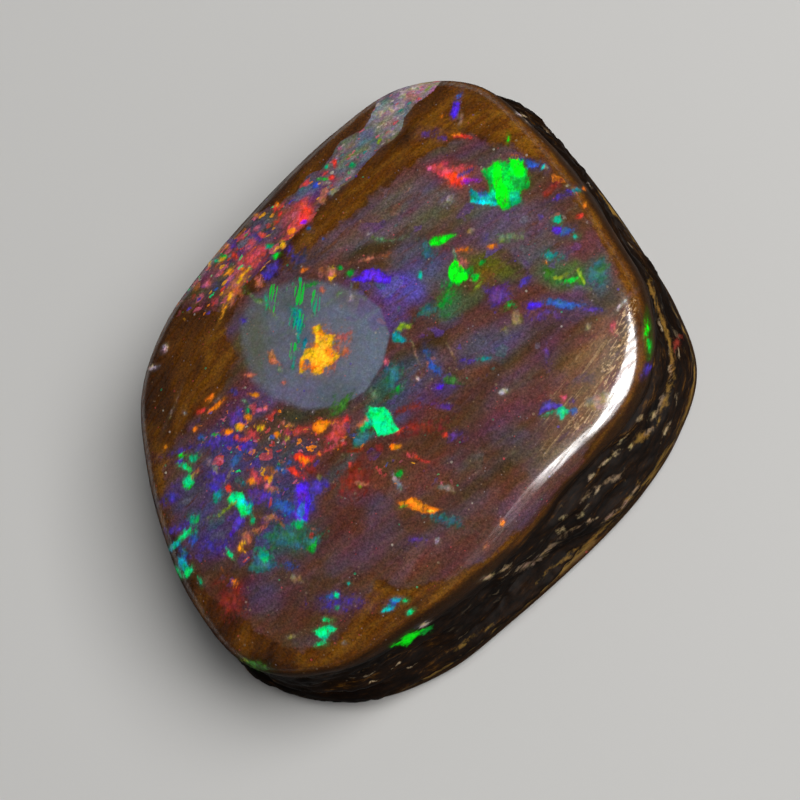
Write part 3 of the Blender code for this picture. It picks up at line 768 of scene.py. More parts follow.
def wall_ring(turns, height):
    """One ring of the wall, along the bed at this height."""
    bed_heights, stands = zip(*reversed(BEDS))
    stand = float(np.interp(height, bed_heights, stands))
    down = (WALL_TOP - height) / (WALL_TOP - WALL_FOOT)
    belly = math.sin(math.pi * down)
    spread = 0.5 * down + 0.5 * down ** 2 * (3 - 2 * down)
    rim = closed_curve(RIM_RADII, turns)
    plain = rim + (closed_curve(BASE_RADII, turns) - rim) * spread
    strength = np.clip(BED_STRENGTH + waves(turns, BED_CHANGE, BED_LEAN * height), 0, None)
    lumps = belly * waves(turns, LUMPS, LUMP_LEAN * height)
    radius = plain + stand * strength + lumps - pit_depth(turns, plain, height)
    return radius, height + belly * waves(turns, BED_LIFT, 0)


def foot_ring(turns, lean):
    """One ring of the rounded edge of the base."""
    radius = closed_curve(BASE_RADII, turns) - EDGE_RADIUS * (1 - math.cos(lean))
    return radius, np.full_like(turns, WALL_FOOT - EDGE_RADIUS * math.sin(lean))


def base_ring(turns, share):
    """One ring of the flat sawn base."""
    radius = (closed_curve(BASE_RADII, turns) - EDGE_RADIUS) * share
    return radius, np.zeros_like(turns)


def turns_of(count):
    """Evenly spaced turns round the stone, in radians."""
    return np.arange(count) * 2 * math.pi / count


def stone_rings():
    """Every ring from the middle of the face down to the base: radius, height, wall share."""
    rings = []
    start = 0.0
    for count, steps, share in FACE_RINGS:
        turns = turns_of(count)
        for step in range(1, steps + 1):
            rings.append((*face_ring(turns, start + (share - start) * step / steps), 0.0))
        start = share
    turns = turns_of(SEGMENTS)
    for step in range(1, SHOULDER_RINGS + 1):
        lean = SHOULDER_START + (SHOULDER_END - SHOULDER_START) * step / SHOULDER_RINGS
        rings.append((*shoulder_ring(turns, lean), 0.0))
    for step in range(1, WALL_RINGS + 1):
        down = step / (WALL_RINGS + 1)
        height = WALL_TOP + (WALL_FOOT - WALL_TOP) * down
        relief = min(1.0, RELIEF_GROWTH[0] * down, RELIEF_GROWTH[1] * (1 - down))
        rings.append((*wall_ring(turns, height), relief))
    for step in range(FOOT_RINGS + 1):
        rings.append((*foot_ring(turns, math.pi / 2 * step / FOOT_RINGS), 0.0))
    for count, share in BASE_RINGS:
        rings.append((*base_ring(turns_of(count), share), 0.0))
    return rings


def outline_middle():
    """Middle of the box around the base line, which is the stone's origin."""
    turns = np.linspace(0, 2 * math.pi, OUTLINE_STEPS, endpoint=False)
    radius = closed_curve(BASE_RADII, turns)
    across = radius * np.cos(turns)
    along = radius * np.sin(turns)
    return (across.max() + across.min()) / 2, (along.max() + along.min()) / 2


def ring_faces(upper, lower, upper_count, lower_count):
    """Faces between two rings, of which one may have twice the other's points."""
    count = min(upper_count, lower_count)
    up = upper_count // count
    down = lower_count // count
    faces = []
    for step in range(count):
        above = [upper + (up * step + k) % upper_count for k in range(up + 1)]
        below = [lower + (down * step + k) % lower_count for k in range(down + 1)]
        if up == down:
            faces.append((above[0], below[0], below[1], above[1]))
        elif down > up:
            faces += [(above[0], below[0], below[1]), (above[0], below[1], above[1]),
                      (above[1], below[1], below[2])]
        else:
            faces += [(above[0], below[0], above[1]), (above[1], below[0], below[1]),
                      (above[1], below[1], above[2])]
    return faces


def stone_mesh():
    """The plain stone as a closed mesh, with its wall marked for the relief."""
    middle = np.array(outline_middle())
    rings = stone_rings()
    points = [(-middle[0], -middle[1], CROWN_HEIGHT)]
    wall = [0.0]
    starts = []
    for radius, height, wall_share in rings:
        turns = turns_of(len(radius))
        starts.append(len(points))
        across = radius * np.cos(turns) - middle[0]
        along = radius * np.sin(turns) - middle[1]
        points.extend(zip(across, along, np.maximum(height, 0.0)))
        wall.extend([wall_share] * len(radius))
    points.append((-middle[0], -middle[1], 0.0))
    wall.append(0.0)
    first = len(rings[0][0])
    faces = [(0, 1 + step, 1 + (step + 1) % first) for step in range(first)]
    for index in range(len(rings) - 1):
        counts = len(rings[index][0]), len(rings[index + 1][0])
        faces += ring_faces(starts[index], starts[index + 1], *counts)
    last, count = starts[-1], len(rings[-1][0])
    faces += [(len(points) - 1, last + (step + 1) % count, last + step) for step in range(count)]
    mesh = bpy.data.meshes.new("boulder_opal_stone")
    mesh.from_pydata([tuple(MM * value for value in point) for point in points], [], faces)
    mesh.update()
    store(mesh, "wall", np.array(wall))
    return mesh


def store(mesh, name, values):
    """Writes one number or one colour for each point of the mesh."""
    if values.ndim == 1:
        mesh.attributes.new(name, "FLOAT", "POINT").data.foreach_set("value", values)
    else:
        layer = mesh.attributes.new(name, "FLOAT_COLOR", "POINT")
        layer.data.foreach_set("color", values.ravel())


def stored(parts, name, width):
    """What each point of a mesh has under a name, with this many numbers to a row."""
    values = np.empty(len(parts) * width, np.float32)
    parts.foreach_get(name, values)
    return values.reshape(-1, width)


class Sight:
    """The camera's line of sight, which turns points of the stone into places in the picture."""

    def __init__(self):
        side = Vector((math.cos(CAMERA_SIDE), math.sin(CAMERA_SIDE), 0))
        self.back = math.sin(CAMERA_TILT) * side + math.cos(CAMERA_TILT) * Vector((0, 0, 1))
        lean = Matrix.Rotation(CAMERA_TILT, 3, Vector((0, 0, 1)).cross(side))
        turn = Matrix.Rotation(PICTURE_TURN, 3, "Z")
        self.right = lean @ turn @ Vector((1, 0, 0))
        self.up = lean @ turn @ Vector((0, 1, 0))
        distance = PICTURE / PIXELS_PER_MM * LENS / SENSOR
        self.eye = Vector(CAMERA_AIM) + self.back * distance

    def picture_place(self, points):
        """Pixel coordinates, across and down, of points in millimetres."""
        away = points - np.array(self.eye)
        depth = -away @ np.array(self.back)
        scale = PICTURE * LENS / SENSOR / depth
        half = PICTURE / 2
        return half + away @ np.array(self.right) * scale, half - away @ np.array(self.up) * scale


def smooth(low, high, values):
    """A soft step from 0 at low to 1 at high."""
    t = np.clip((values - low) / (high - low), 0, 1)
    return t * t * (3 - 2 * t)


def stray(x, y):
    """Bends the picture places a little, so that no outline stays straight."""
    draw = random.Random(STRAY_SEED)
    dx = np.zeros_like(x)
    dy = np.zeros_like(y)
    for _ in range(STRAY_WAVES):
        turn = draw.uniform(0, 2 * math.pi)
        length = draw.uniform(*STRAY_LENGTHS)
        wave = np.sin((x * math.cos(turn) + y * math.sin(turn)) * 2 * math.pi / length
                      + draw.uniform(0, 2 * math.pi)) * STRAY_SHARE * length
        way = draw.uniform(0, 2 * math.pi)
        dx += wave * math.cos(way)
        dy += wave * math.sin(way)
    return x + dx, y + dy


def inside_outline(outline, x, y):
    """Distance in pixels into a closed outline, negative outside it."""
    nearest = np.full_like(x, 1e9)
    inside = np.zeros(x.shape, bool)
    for (ax, ay), (bx, by) in zip(outline, outline[1:] + outline[:1]):
        along = np.clip(((x - ax) * (bx - ax) + (y - ay) * (by - ay))
                        / ((bx - ax) ** 2 + (by - ay) ** 2), 0, 1)
        away = np.hypot(x - ax - along * (bx - ax), y - ay - along * (by - ay))
        nearest = np.minimum(nearest, away)
        crosses = (ay > y) != (by > y)
        if ay != by:
            inside ^= crosses & (x < ax + (y - ay) / (by - ay) * (bx - ax))
    return np.where(inside, nearest, -nearest)


def oval_reach(mark, x, y):
    """1 on the edge of a mark's oval, 0 in its middle, growing outwards."""
    turn = math.radians(mark.turn)
    across = x - mark.x
    upward = mark.y - y
    along = (across * math.cos(turn) + upward * math.sin(turn)) / (mark.long / 2)
    beside = (upward * math.cos(turn) - across * math.sin(turn)) / (mark.wide / 2)
    return np.hypot(along, beside)


def flash_layer(x, y, seen):
    """Colour of the flash at each point, and 0.5 on its edge rising to 1 inside it."""
    best = np.full_like(x, -1e3)
    colour = np.zeros((len(x), 3))
    spots = tuple(Spot(name, *row) for name, marks in SPOTS.items() for row in marks)
    for mark in PATCHES + spots:
        if isinstance(mark, Patch):
            depth = inside_outline(mark.outline, x, y)
        else:
            depth = (1 - oval_reach(mark, x, y)) * min(mark.long, mark.wide) / 2
        depth = depth / mark.soft
        takes = (depth > best) | (depth > 0)
        colour[takes] = COLOURS[mark.colour]
        best = np.maximum(best, depth)
    field = np.clip(0.5 + best / (2 * EDGE_REACH), 0, 1) * seen
    return np.column_stack((colour, field))


def wash_layer(marks, x, y, seen):
    """Soft colours laid over each other, and how far they cover."""
    colour = np.zeros((len(x), 3))
    cover = np.zeros_like(x)
    for wash in marks:
        amount = wash.amount * (1 - smooth(*WASH_EDGE, oval_reach(wash, x, y)))
        whole = cover + amount * (1 - cover)
        share = np.where(whole > 0, amount / np.maximum(whole, 1e-6), 0)[:, None]
        colour = colour + (np.array(wash[:3]) - colour) * share
        cover = whole
    return np.column_stack((colour, cover * seen))


def zone_layer(zones, x, y):
    """How strongly the nearest of the zones is felt at each point."""
    felt = np.zeros_like(x)
    for zone in zones:
        felt = np.maximum(felt, zone.amount * (1 - smooth(*ZONE_EDGE, oval_reach(zone, x, y))))
    return felt


def mark_stone(mesh, sight):
    """Stores on the mesh where each kind of stone and each flash lies."""
    points = stored(mesh.vertices, "co", 3)
    normals = stored(mesh.vertex_normals, "vector", 3)
    on_wall = np.clip(3 * stored(mesh.attributes["wall"].data, "value", 1)[:, 0], 0, 1)
    upward = normals[:, 2]
    back = np.array(sight.back)
    plain_x, plain_y = sight.picture_place(points / MM)
    x, y = stray(plain_x, plain_y)

    # The wall's marks stop where it turns away from the camera
    facing = points[:, :2] @ back[:2] / np.linalg.norm(points[:, :2], axis=1).clip(1e-6)
    near_side = smooth(*NEAR_SIDE, facing / np.linalg.norm(back[:2]))
    seen = smooth(*IN_SIGHT, normals @ back) * (1 - on_wall * (1 - near_side))

    dulled = zone_layer(DULLED, plain_x, plain_y) * seen
    # How far the rim's painted shade is held back in its zone
    lifted_rim_shade = RIM_SHADE_LIFT * zone_layer(LESS_RIM_SHADE, plain_x, plain_y) * seen
    haze = smooth(*HAZE_EDGE, inside_outline(HAZE_OUTLINE, x, y))
    least, left, top = POTCH_SOFTNESS
    soft = least + left * smooth(*POTCH_SOFT_LEFT, plain_x) + top * smooth(*POTCH_SOFT_TOP, plain_y)
    potch = smooth(*POTCH_EDGE, inside_outline(POTCH_OUTLINE, plain_x, plain_y) / soft)
    vein = smooth(*VEIN_EDGE, inside_outline(VEIN_OUTLINE, x, y))
    vein = vein * (1 - VEIN_FADE_AMOUNT * smooth(*VEIN_FADE, y))
    ochre = np.zeros_like(x)
    for outline in OCHRE_OUTLINES:
        ochre = np.maximum(ochre, smooth(*OCHRE_EDGE, inside_outline(outline, x, y)))
    warm_vein = VEIN_WARM_AMOUNT * vein * smooth(*VEIN_WARM, y)
    warm = np.maximum(zone_layer(WARM_ZONES, x, y), warm_vein)

    layers = {
        "polish": smooth(*POLISH_LEAN, upward) * (1 - on_wall) * (1 - dulled),
        # Painted shade over the rim, growing as the shoulder turns down
        "rim": smooth(*RIM_SHADE_LEAN, upward + lifted_rim_shade),
        "haze": haze * seen,
        "potch": potch * seen,
        "vein": vein * seen,
        "ochre": ochre * seen,
        # Dark ironstone at some edges, with painted shade where they turn from the light
        "dark": zone_layer(DARK_SHADED_ZONES, x, y) * seen,
        "scratched": zone_layer(LIT_SCRATCH_ZONES, plain_x, plain_y) * seen,
        "speckled": zone_layer(PAINTED_SPARKLE_ZONES, plain_x, plain_y) * seen,
        "comb": zone_layer(COMB_ZONES, plain_x, plain_y) * seen,
        "warm_flecks": warm * seen,
        "cool_flecks": zone_layer(COOL_ZONES, x, y) * haze * seen,
        "pale_flecks": vein * smooth(*VEIN_PALE, y) * seen,
        "flash": flash_layer(x, y, seen),
        "wash": wash_layer(WASHES, x, y, seen * haze),
        "potch_wash": wash_layer(POTCH_WASHES, x, y, seen * potch),
        "vein_wash": wash_layer(VEIN_WASHES, x, y, seen),
    }
    for name, values in layers.items():
        store(mesh, name, values)


def rgb(colour):
    """A colour with full cover, by its own numbers or by its name."""
    return (*(COLOURS[colour] if isinstance(colour, str) else colour), 1.0)


class Wire:
    """The output of a node, which can be used in sums like a number."""

    def __init__(self, maker, socket):
        self.maker = maker
        self.socket = socket

    def sum(self, operation, first, second):
        return self.maker.make("ShaderNodeMath", {"operation": operation}, {0: first, 1: second})

    def __add__(self, other):
        return self.sum("ADD", self, other)

    def __radd__(self, other):
        return self.sum("ADD", other, self)

    def __sub__(self, other):
        return self.sum("SUBTRACT", self, other)

    def __rsub__(self, other):
        return self.sum("SUBTRACT", other, self)

    def __mul__(self, other):
        return self.sum("MULTIPLY", self, other)

    def __rmul__(self, other):
        return self.sum("MULTIPLY", other, self)

    def __rtruediv__(self, other):
        return self.sum("DIVIDE", other, self)


class Maker:
    """Adds nodes to one tree."""

    def __init__(self, tree):
        self.tree = tree

    def node(self, kind, settings=None, inputs=None):
        """Adds a node: its settings first, then a value or a link for each socket."""
        node = self.tree.nodes.new(kind)
        for name, value in (settings or {}).items():
            if name == "stops":
                self.set_stops(node.color_ramp, value)
            else:
                setattr(node, name, value)
        for name, value in (inputs or {}).items():
            if isinstance(value, Wire):
                self.tree.links.new(value.socket, node.inputs[name])
            else:
                node.inputs[name].default_value = value
        return node

    def make(self, kind, settings=None, inputs=None, output=0):
        """Adds a node and gives one of its outputs."""
        return Wire(self, self.node(kind, settings, inputs).outputs[output])

    def set_stops(self, ramp, stops):
        """Fills a ramp: each stop is a place and a colour."""
        while len(ramp.elements) > 1:
            ramp.elements.remove(ramp.elements[-1])
        ramp.elements[0].position = stops[0][0]
        ramp.elements[0].color = rgb(stops[0][1])
        for place, colour in stops[1:]:
            ramp.elements.new(place).color = rgb(colour)

    def step(self, value, low, high):
        """A soft step from 0 at low to 1 at high."""
        inputs = {"Value": value, "From Min": low, "From Max": high}
        return self.make("ShaderNodeMapRange", {"interpolation_type": "SMOOTHSTEP"}, inputs)

    def vector(self, operation, *values):
        """Sums with places or colours."""
        return self.make("ShaderNodeVectorMath", {"operation": operation}, dict(enumerate(values)))

    def scaled(self, place, amount):
        """A place or a direction made longer by a number."""
        inputs = {0: place, "Scale": amount}
        return self.make("ShaderNodeVectorMath", {"operation": "SCALE"}, inputs)


class Finish(Maker):
    """A stone finish: patterns in millimetres on the stone, mixed into one surface."""

    def layer(self, name, output="Fac"):
        """What the mesh stores under a name."""
        return self.make("ShaderNodeAttribute", {"attribute_name": name}, None, output)

    def blend(self, mode, amount, under, over):
        """Two colours mixed in one of the mixing modes."""
        settings = {"data_type": "RGBA", "blend_type": mode, "clamp_factor": True}
        return self.make("ShaderNodeMix", settings, {0: amount, 6: under, 7: over}, 2)

    def mix(self, amount, under, over):
        """One colour laid over another."""
        return self.blend("MIX", amount, under, over)

    def shade(self, under, value):
        """A colour made lighter or darker by a number."""
        grey = self.make("ShaderNodeCombineColor", None, {0: value, 1: value, 2: value})
        return self.blend("MULTIPLY", 1.0, under, grey)

    def ramp(self, stops, pick):
        """A colour between stops, picked by a number from 0 to 1."""
        return self.make("ShaderNodeValToRGB", {"stops": stops}, {"Fac": pick}, "Color")

    def drawn(self, place, stretch, turn=0.0, flat=1.0):
        """The place for a pattern drawn out along one level direction and flattened in height."""
        inputs = {"Vector": place, "Rotation": (0, 0, turn), "Scale": (stretch, 1.0, 1 / flat)}
        return self.make("ShaderNodeMapping", {"vector_type": "TEXTURE"}, inputs)

    def noise(self, place, scale, detail=2.0, rough=0.5, bend=0.0, output="Fac"):
        """Noise with this many waves to the millimetre."""
        inputs = {"Vector": place, "Scale": scale, "Detail": detail, "Roughness": rough,
                  "Distortion": bend}
        return self.make("ShaderNodeTexNoise", {"noise_dimensions": "3D"}, inputs, output)

    def tint(self, under, place, scale, gains, detail=2.0):
        """Varies each part of a colour by noise of its own."""
        noise = self.noise(place, scale, detail, output="Color")
        varied = self.vector("MULTIPLY_ADD", noise, gains, tuple(1 - gain / 2 for gain in gains))
        return self.blend("MULTIPLY", 1.0, under, self.vector("MAXIMUM", varied))

    def warped(self, place, scale, reach):
        """The place pushed about by noise, which makes cells ragged."""
        noise = self.noise(place, scale, 2.0, output="Color")
        return self.vector("MULTIPLY_ADD", noise, (reach, reach, reach), place)

    def shards(self, place, scale):
        """Cells of a crackle: two random numbers for each, and the distance to its middle."""
        cells = self.node("ShaderNodeTexVoronoi", {"voronoi_dimensions": "3D"},
                          {"Vector": place, "Scale": scale})
        parts = self.node("ShaderNodeSeparateColor", None,
                          {"Color": Wire(self, cells.outputs["Color"])})
        return (Wire(self, parts.outputs[0]), Wire(self, parts.outputs[1]),
                Wire(self, cells.outputs["Distance"]))

    def hues(self, pick, names):
        """One of the named colours, picked by a number from 0 to 1."""
        stops = [(index / len(names), name) for index, name in enumerate(names)]
        node = self.node("ShaderNodeValToRGB", {"stops": stops}, {"Fac": pick})
        node.color_ramp.interpolation = "CONSTANT"
        return Wire(self, node.outputs["Color"])

    def flecks(self, under, place, zone, kind):
        """Lays shards of the kind's colours over a colour, where the zone is strong."""
        pick, chance, near = self.shards(place, kind.scale)
        patchy = self.noise(place, kind.scale * 0.22, 2.0)
        on = self.step(zone * (patchy * 2.4 - 0.2) - chance, 0.0, 0.08)
        lit = on * self.step(near, kind.size, kind.size * 0.62) * kind.cover
        return self.mix(lit, under, self.hues(pick, kind.colours))


class StoneSettings(bpy.types.PropertyGroup):
    """Sizes and colours of the stone that a user would change."""

    bed_pitch: bpy.props.FloatProperty(
        name="Bed pitch", description="Distance between the fine ironstone beds on the wall",
        default=0.00045, min=0.0001, unit="LENGTH", subtype="DISTANCE")
    ledge_depth: bpy.props.FloatProperty(
        name="Ledge depth", description="How deep the fine ledges cut into the wall",
        default=0.00005, min=0.0, unit="LENGTH", subtype="DISTANCE")
    pit_length: bpy.props.FloatProperty(
        name="Pit length", description="Length of the small pits along the beds",
        default=0.00040, min=0.0001, unit="LENGTH", subtype="DISTANCE")
    pit_depth: bpy.props.FloatProperty(
        name="Pit depth", description="Depth of the small pits",
        default=0.00005, min=0.0, unit="LENGTH", subtype="DISTANCE")
    relief_seed: bpy.props.IntProperty(
        name="Relief seed", description="Changes where the ledges and pits lie", default=7)
    haze_colour: bpy.props.FloatVectorProperty(
        name="Haze colour", description="Mauve haze of the opal in the face",
        default=(0.122, 0.041, 0.024), subtype="COLOR")
    violet_colour: bpy.props.FloatVectorProperty(
        name="Violet colour", description="Violet parts of the haze",
        default=(0.104, 0.048, 0.060), subtype="COLOR")
    potch_colour: bpy.props.FloatVectorProperty(
        name="Potch colour", description="Blue-grey oval of plain opal",
        default=(0.150, 0.172, 0.235), subtype="COLOR")
    ironstone_colour: bpy.props.FloatVectorProperty(
        name="Ironstone colour", description="Brown of the ironstone in the face",
        default=(0.098, 0.029, 0.0008), subtype="COLOR")
    flash_glow: bpy.props.FloatProperty(
        name="Flash glow", description="Light of their own that the flashes give",
        default=0.35, min=0.0, max=1.0)


class StageSettings(bpy.types.PropertyGroup):
    """Floor and light."""

    floor_colour: bpy.props.FloatVectorProperty(
        name="Floor colour", description="Pale floor under the stone",
        default=(0.62, 0.61, 0.59), subtype="COLOR")
    softbox_power: bpy.props.FloatProperty(
        name="Softbox power", description="Strength of the light that the polish shows",
        default=0.50, unit="POWER")
    strip_power: bpy.props.FloatProperty(
        name="Strip power", description="Strength of the low light that draws the highlight out",
        default=0.34, unit="POWER")
    sheen_power: bpy.props.FloatProperty(
        name="Sheen power", description="Strength of the wider sheen round the highlight",
        default=0.022, unit="POWER")
    panel_power: bpy.props.FloatProperty(
        name="Panel power", description="Strength of the wide high light",
        default=0.24, unit="POWER")
    sky_strength: bpy.props.FloatProperty(
        name="Sky strength", description="Soft light from all round", default=0.09)


def relief_tree(finish):
    """Geometry Nodes that cut fine ledges and pits into the wall, always inwards."""
    tree = bpy.data.node_groups.new("ironstone relief", "GeometryNodeTree")
    face = tree.interface
    face.new_socket("Stone", in_out="INPUT", socket_type="NodeSocketGeometry")
    for name in ("Bed pitch", "Ledge depth", "Pit length", "Pit depth"):
        face.new_socket(name, in_out="INPUT", socket_type="NodeSocketFloat")
    face.new_socket("Seed", in_out="INPUT", socket_type="NodeSocketInt")
    face.new_socket("Stone", in_out="OUTPUT", socket_type="NodeSocketGeometry")

    f = Maker(tree)
    given = {socket.name: Wire(f, socket)
             for socket in f.node("NodeGroupInput").outputs if socket.name}
    wall = f.make("GeometryNodeInputNamedAttribute", {"data_type": "FLOAT"}, {"Name": "wall"})
    flat = f.vector("MULTIPLY", f.make("GeometryNodeInputPosition"), (1.0, 1.0, 3.2))
    ledges = f.make("ShaderNodeTexNoise", {"noise_dimensions": "4D"},
                    {"Vector": flat, "Scale": 1 / given["Bed pitch"], "W": given["Seed"],
                     "Detail": 4.0, "Roughness": 0.62})
    holes = f.node("ShaderNodeTexVoronoi", {"voronoi_dimensions": "4D"},
                   {"Vector": flat, "Scale": 1 / given["Pit length"], "W": given["Seed"]})
    some = f.make("ShaderNodeMath", {"operation": "GREATER_THAN"},
                  {0: Wire(f, holes.outputs["Color"]), 1: 0.52})
    hole = f.step(Wire(f, holes.outputs["Distance"]), 0.42, 0.20) * some * wall
    cut = (1 - f.step(ledges, 0.36, 0.62)) * given["Ledge depth"] * wall + hole * given["Pit depth"]
    inward = f.vector("MULTIPLY", f.make("GeometryNodeInputNormal"), (-1.0, -1.0, 0.0))
    moved = f.make("GeometryNodeSetPosition", None,
                   {"Geometry": given["Stone"], "Offset": f.scaled(inward, cut)})
    noted = f.make("GeometryNodeStoreNamedAttribute", {"data_type": "FLOAT"},
                   {"Geometry": moved, "Name": "pit", "Value": hole})
    whole = f.make("GeometryNodeRealizeInstances", None, {"Geometry": noted})
    done = f.make("GeometryNodeSetMaterial", None, {"Geometry": whole, "Material": finish})
    f.node("NodeGroupOutput", None, {"Stone": done})
    return tree


def set_relief(stone, finish, settings):
    """Gives the stone the relief, with its sizes set by each socket's identifier."""
    tree = relief_tree(finish)
    modifier = stone.modifiers.new("ironstone relief", "NODES")
    modifier.node_group = tree
    sizes = {
        "Bed pitch": settings.bed_pitch,
        "Ledge depth": settings.ledge_depth,
        "Pit length": settings.pit_length,
        "Pit depth": settings.pit_depth,
        "Seed": settings.relief_seed,
    }
    for item in tree.interface.items_tree:
        if item.item_type == "SOCKET" and item.in_out == "INPUT" and item.name in sizes:
            modifier[item.identifier] = sizes[item.name]


def face_colours(f, place, settings):
    """Ironstone, haze, potch and vein, without the flecks and flashes."""
    flow = f.drawn(place, 3.6, FLOW_TURN)
    bands = f.noise(flow, 1.5, 5.0, 0.58, 0.6)
    streaks = f.noise(flow, 5.0, 4.0, 0.62, 0.3)
    fibres = f.noise(f.drawn(place, 5.0, FIBRE_TURN), 1.9, 4.0, 0.50, 0.5)
    ragged = f.noise(place, 5.0, 3.0, 0.6) - 0.5

    middle = (FIBRE_MIDDLE, tuple(settings.ironstone_colour))
    stone = f.ramp((*DARK_FIBRES, middle, LIGHT_FIBRES), fibres)
    gold = f.mix(f.step(streaks, 0.40, 0.62), rgb("ochre"), rgb("bright ochre"))
    stone = f.mix(f.layer("ochre") * f.step(bands, 0.22, 0.46), stone, gold)
    # Dark ironstone at some edges, with painted shade where they turn from the light
    stone = f.mix(f.layer("dark"), stone, rgb("shaded dark ironstone"))

    mauve = f.mix(f.step(f.noise(place, 1.1, 3.0), 0.42, 0.60), rgb(settings.haze_colour),
                  rgb(settings.violet_colour))
    mauve = f.mix(f.step(bands, 0.54, 0.36) * 0.7, mauve, rgb("brown haze"))
    mauve = f.mix(f.step(streaks, 0.54, 0.74) * 0.5, mauve, rgb("streak"))
    cover = f.layer("wash", "Alpha") * f.step(streaks, 0.25, 0.50)
    mauve = f.tint(f.mix(cover, mauve, f.layer("wash", "Color")), flow, 2.6, (1.2, 1.3, 2.3))
    face = f.mix(f.step(f.layer("haze") + ragged * 1.1, 0.34, 0.72), stone, mauve)

    potch = f.mix(f.step(streaks, 0.35, 0.65), rgb("dark potch"), rgb(settings.potch_colour))
    potch = f.mix(f.layer("potch_wash", "Alpha"), potch, f.layer("potch_wash", "Color"))
    face = f.mix(f.step(f.layer("potch") + ragged * 0.3, 0.20, 0.80) * 0.94, face, potch)

    seam = f.mix(f.layer("vein_wash", "Alpha"), rgb("vein"), f.layer("vein_wash", "Color"))
    seam = f.tint(seam, f.drawn(place, 2.2, FLOW_TURN), 4.5, (2.4, 2.6, 3.2))
    return f.mix(f.step(f.layer("vein") + ragged * 1.2, 0.40, 0.60), face, seam), bands


def laid_flecks(f, place, face):
    """Flecks of every size, where each zone has them."""
    pale = f.layer("pale_flecks")
    zones = {
        "cool": f.layer("cool_flecks"),
        "warm": f.layer("warm_flecks"),
        "vein": f.layer("vein") - pale,
        "pale": pale,
        "everywhere": 1.0,
    }
    patterns = {
        "slanting": f.drawn(f.warped(place, 5.0, 0.30), 1.7, FLOW_TURN),
        "slim": f.drawn(f.warped(place, 7.0, 0.12), 2.2, FLOW_TURN),
        "round": place,
    }
    for kind in FLECKS:
        face = f.flecks(face, patterns[kind.pattern], zones[kind.zone] * kind.share, kind)
    return face


def wall_colours(f, place, grain):
    """Near-black ironstone with golden beds and painted pale glints where the beds catch the light."""
    beds = f.noise(f.drawn(place, 1.0, 0.0, 6.5), 1.3, 6.0, 0.68, 0.4)
    fibres = f.noise(f.drawn(place, 1.0, 0.0, 5.5), 4.5, 3.0, 0.6, 0.2)
    broad = f.noise(f.drawn(place, 1.0, 0.0, 4.0), 0.35, 3.0)
    rock = f.ramp(WALL_ROCK, beds * 0.50 + fibres * 0.30 + broad * 0.20)
    rock = f.shade(rock, 0.1 + 1.8 * grain)

    height = f.make("ShaderNodeSeparateXYZ", None, {0: place}, "Z")
    lift = height + (broad - 0.5) * 0.5
    away = f.make("ShaderNodeMath", {"operation": "ABSOLUTE"}, {0: lift - RIDGE_HEIGHT})
    ridge = f.step(away, 0.11, 0.02) * f.step(beds, 0.44, 0.56)
    rock = f.mix(ridge * 0.8, rock, rgb("golden bed"))

    zone = f.step(height, GLINT_LOW, GLINT_LOW + 0.2) * f.step(height, GLINT_HIGH, GLINT_HIGH - 0.3)
    # Painted pale glints, in cells laid along the beds
    painted_glint = f.drawn(f.warped(place, 8.0, 0.10), 1.0, 0.0, 4.0)
    _, chance, near = f.shards(painted_glint, 2.6)
    ragged = near + (grain - 0.5) * 0.5
    glint = f.step(chance, 0.32, 0.26) * f.step(ragged, 0.42, 0.26) * zone
    glint = glint * f.step(broad, 0.40, 0.56) * f.step(grain, 0.36, 0.52)
    pit = f.step(f.layer("pit"), 0.3, 0.7) * f.step(grain, 0.48, 0.66) * 0.30
    return f.mix(glint, f.mix(pit, rock, rgb("pit")), rgb("painted_glint")), height


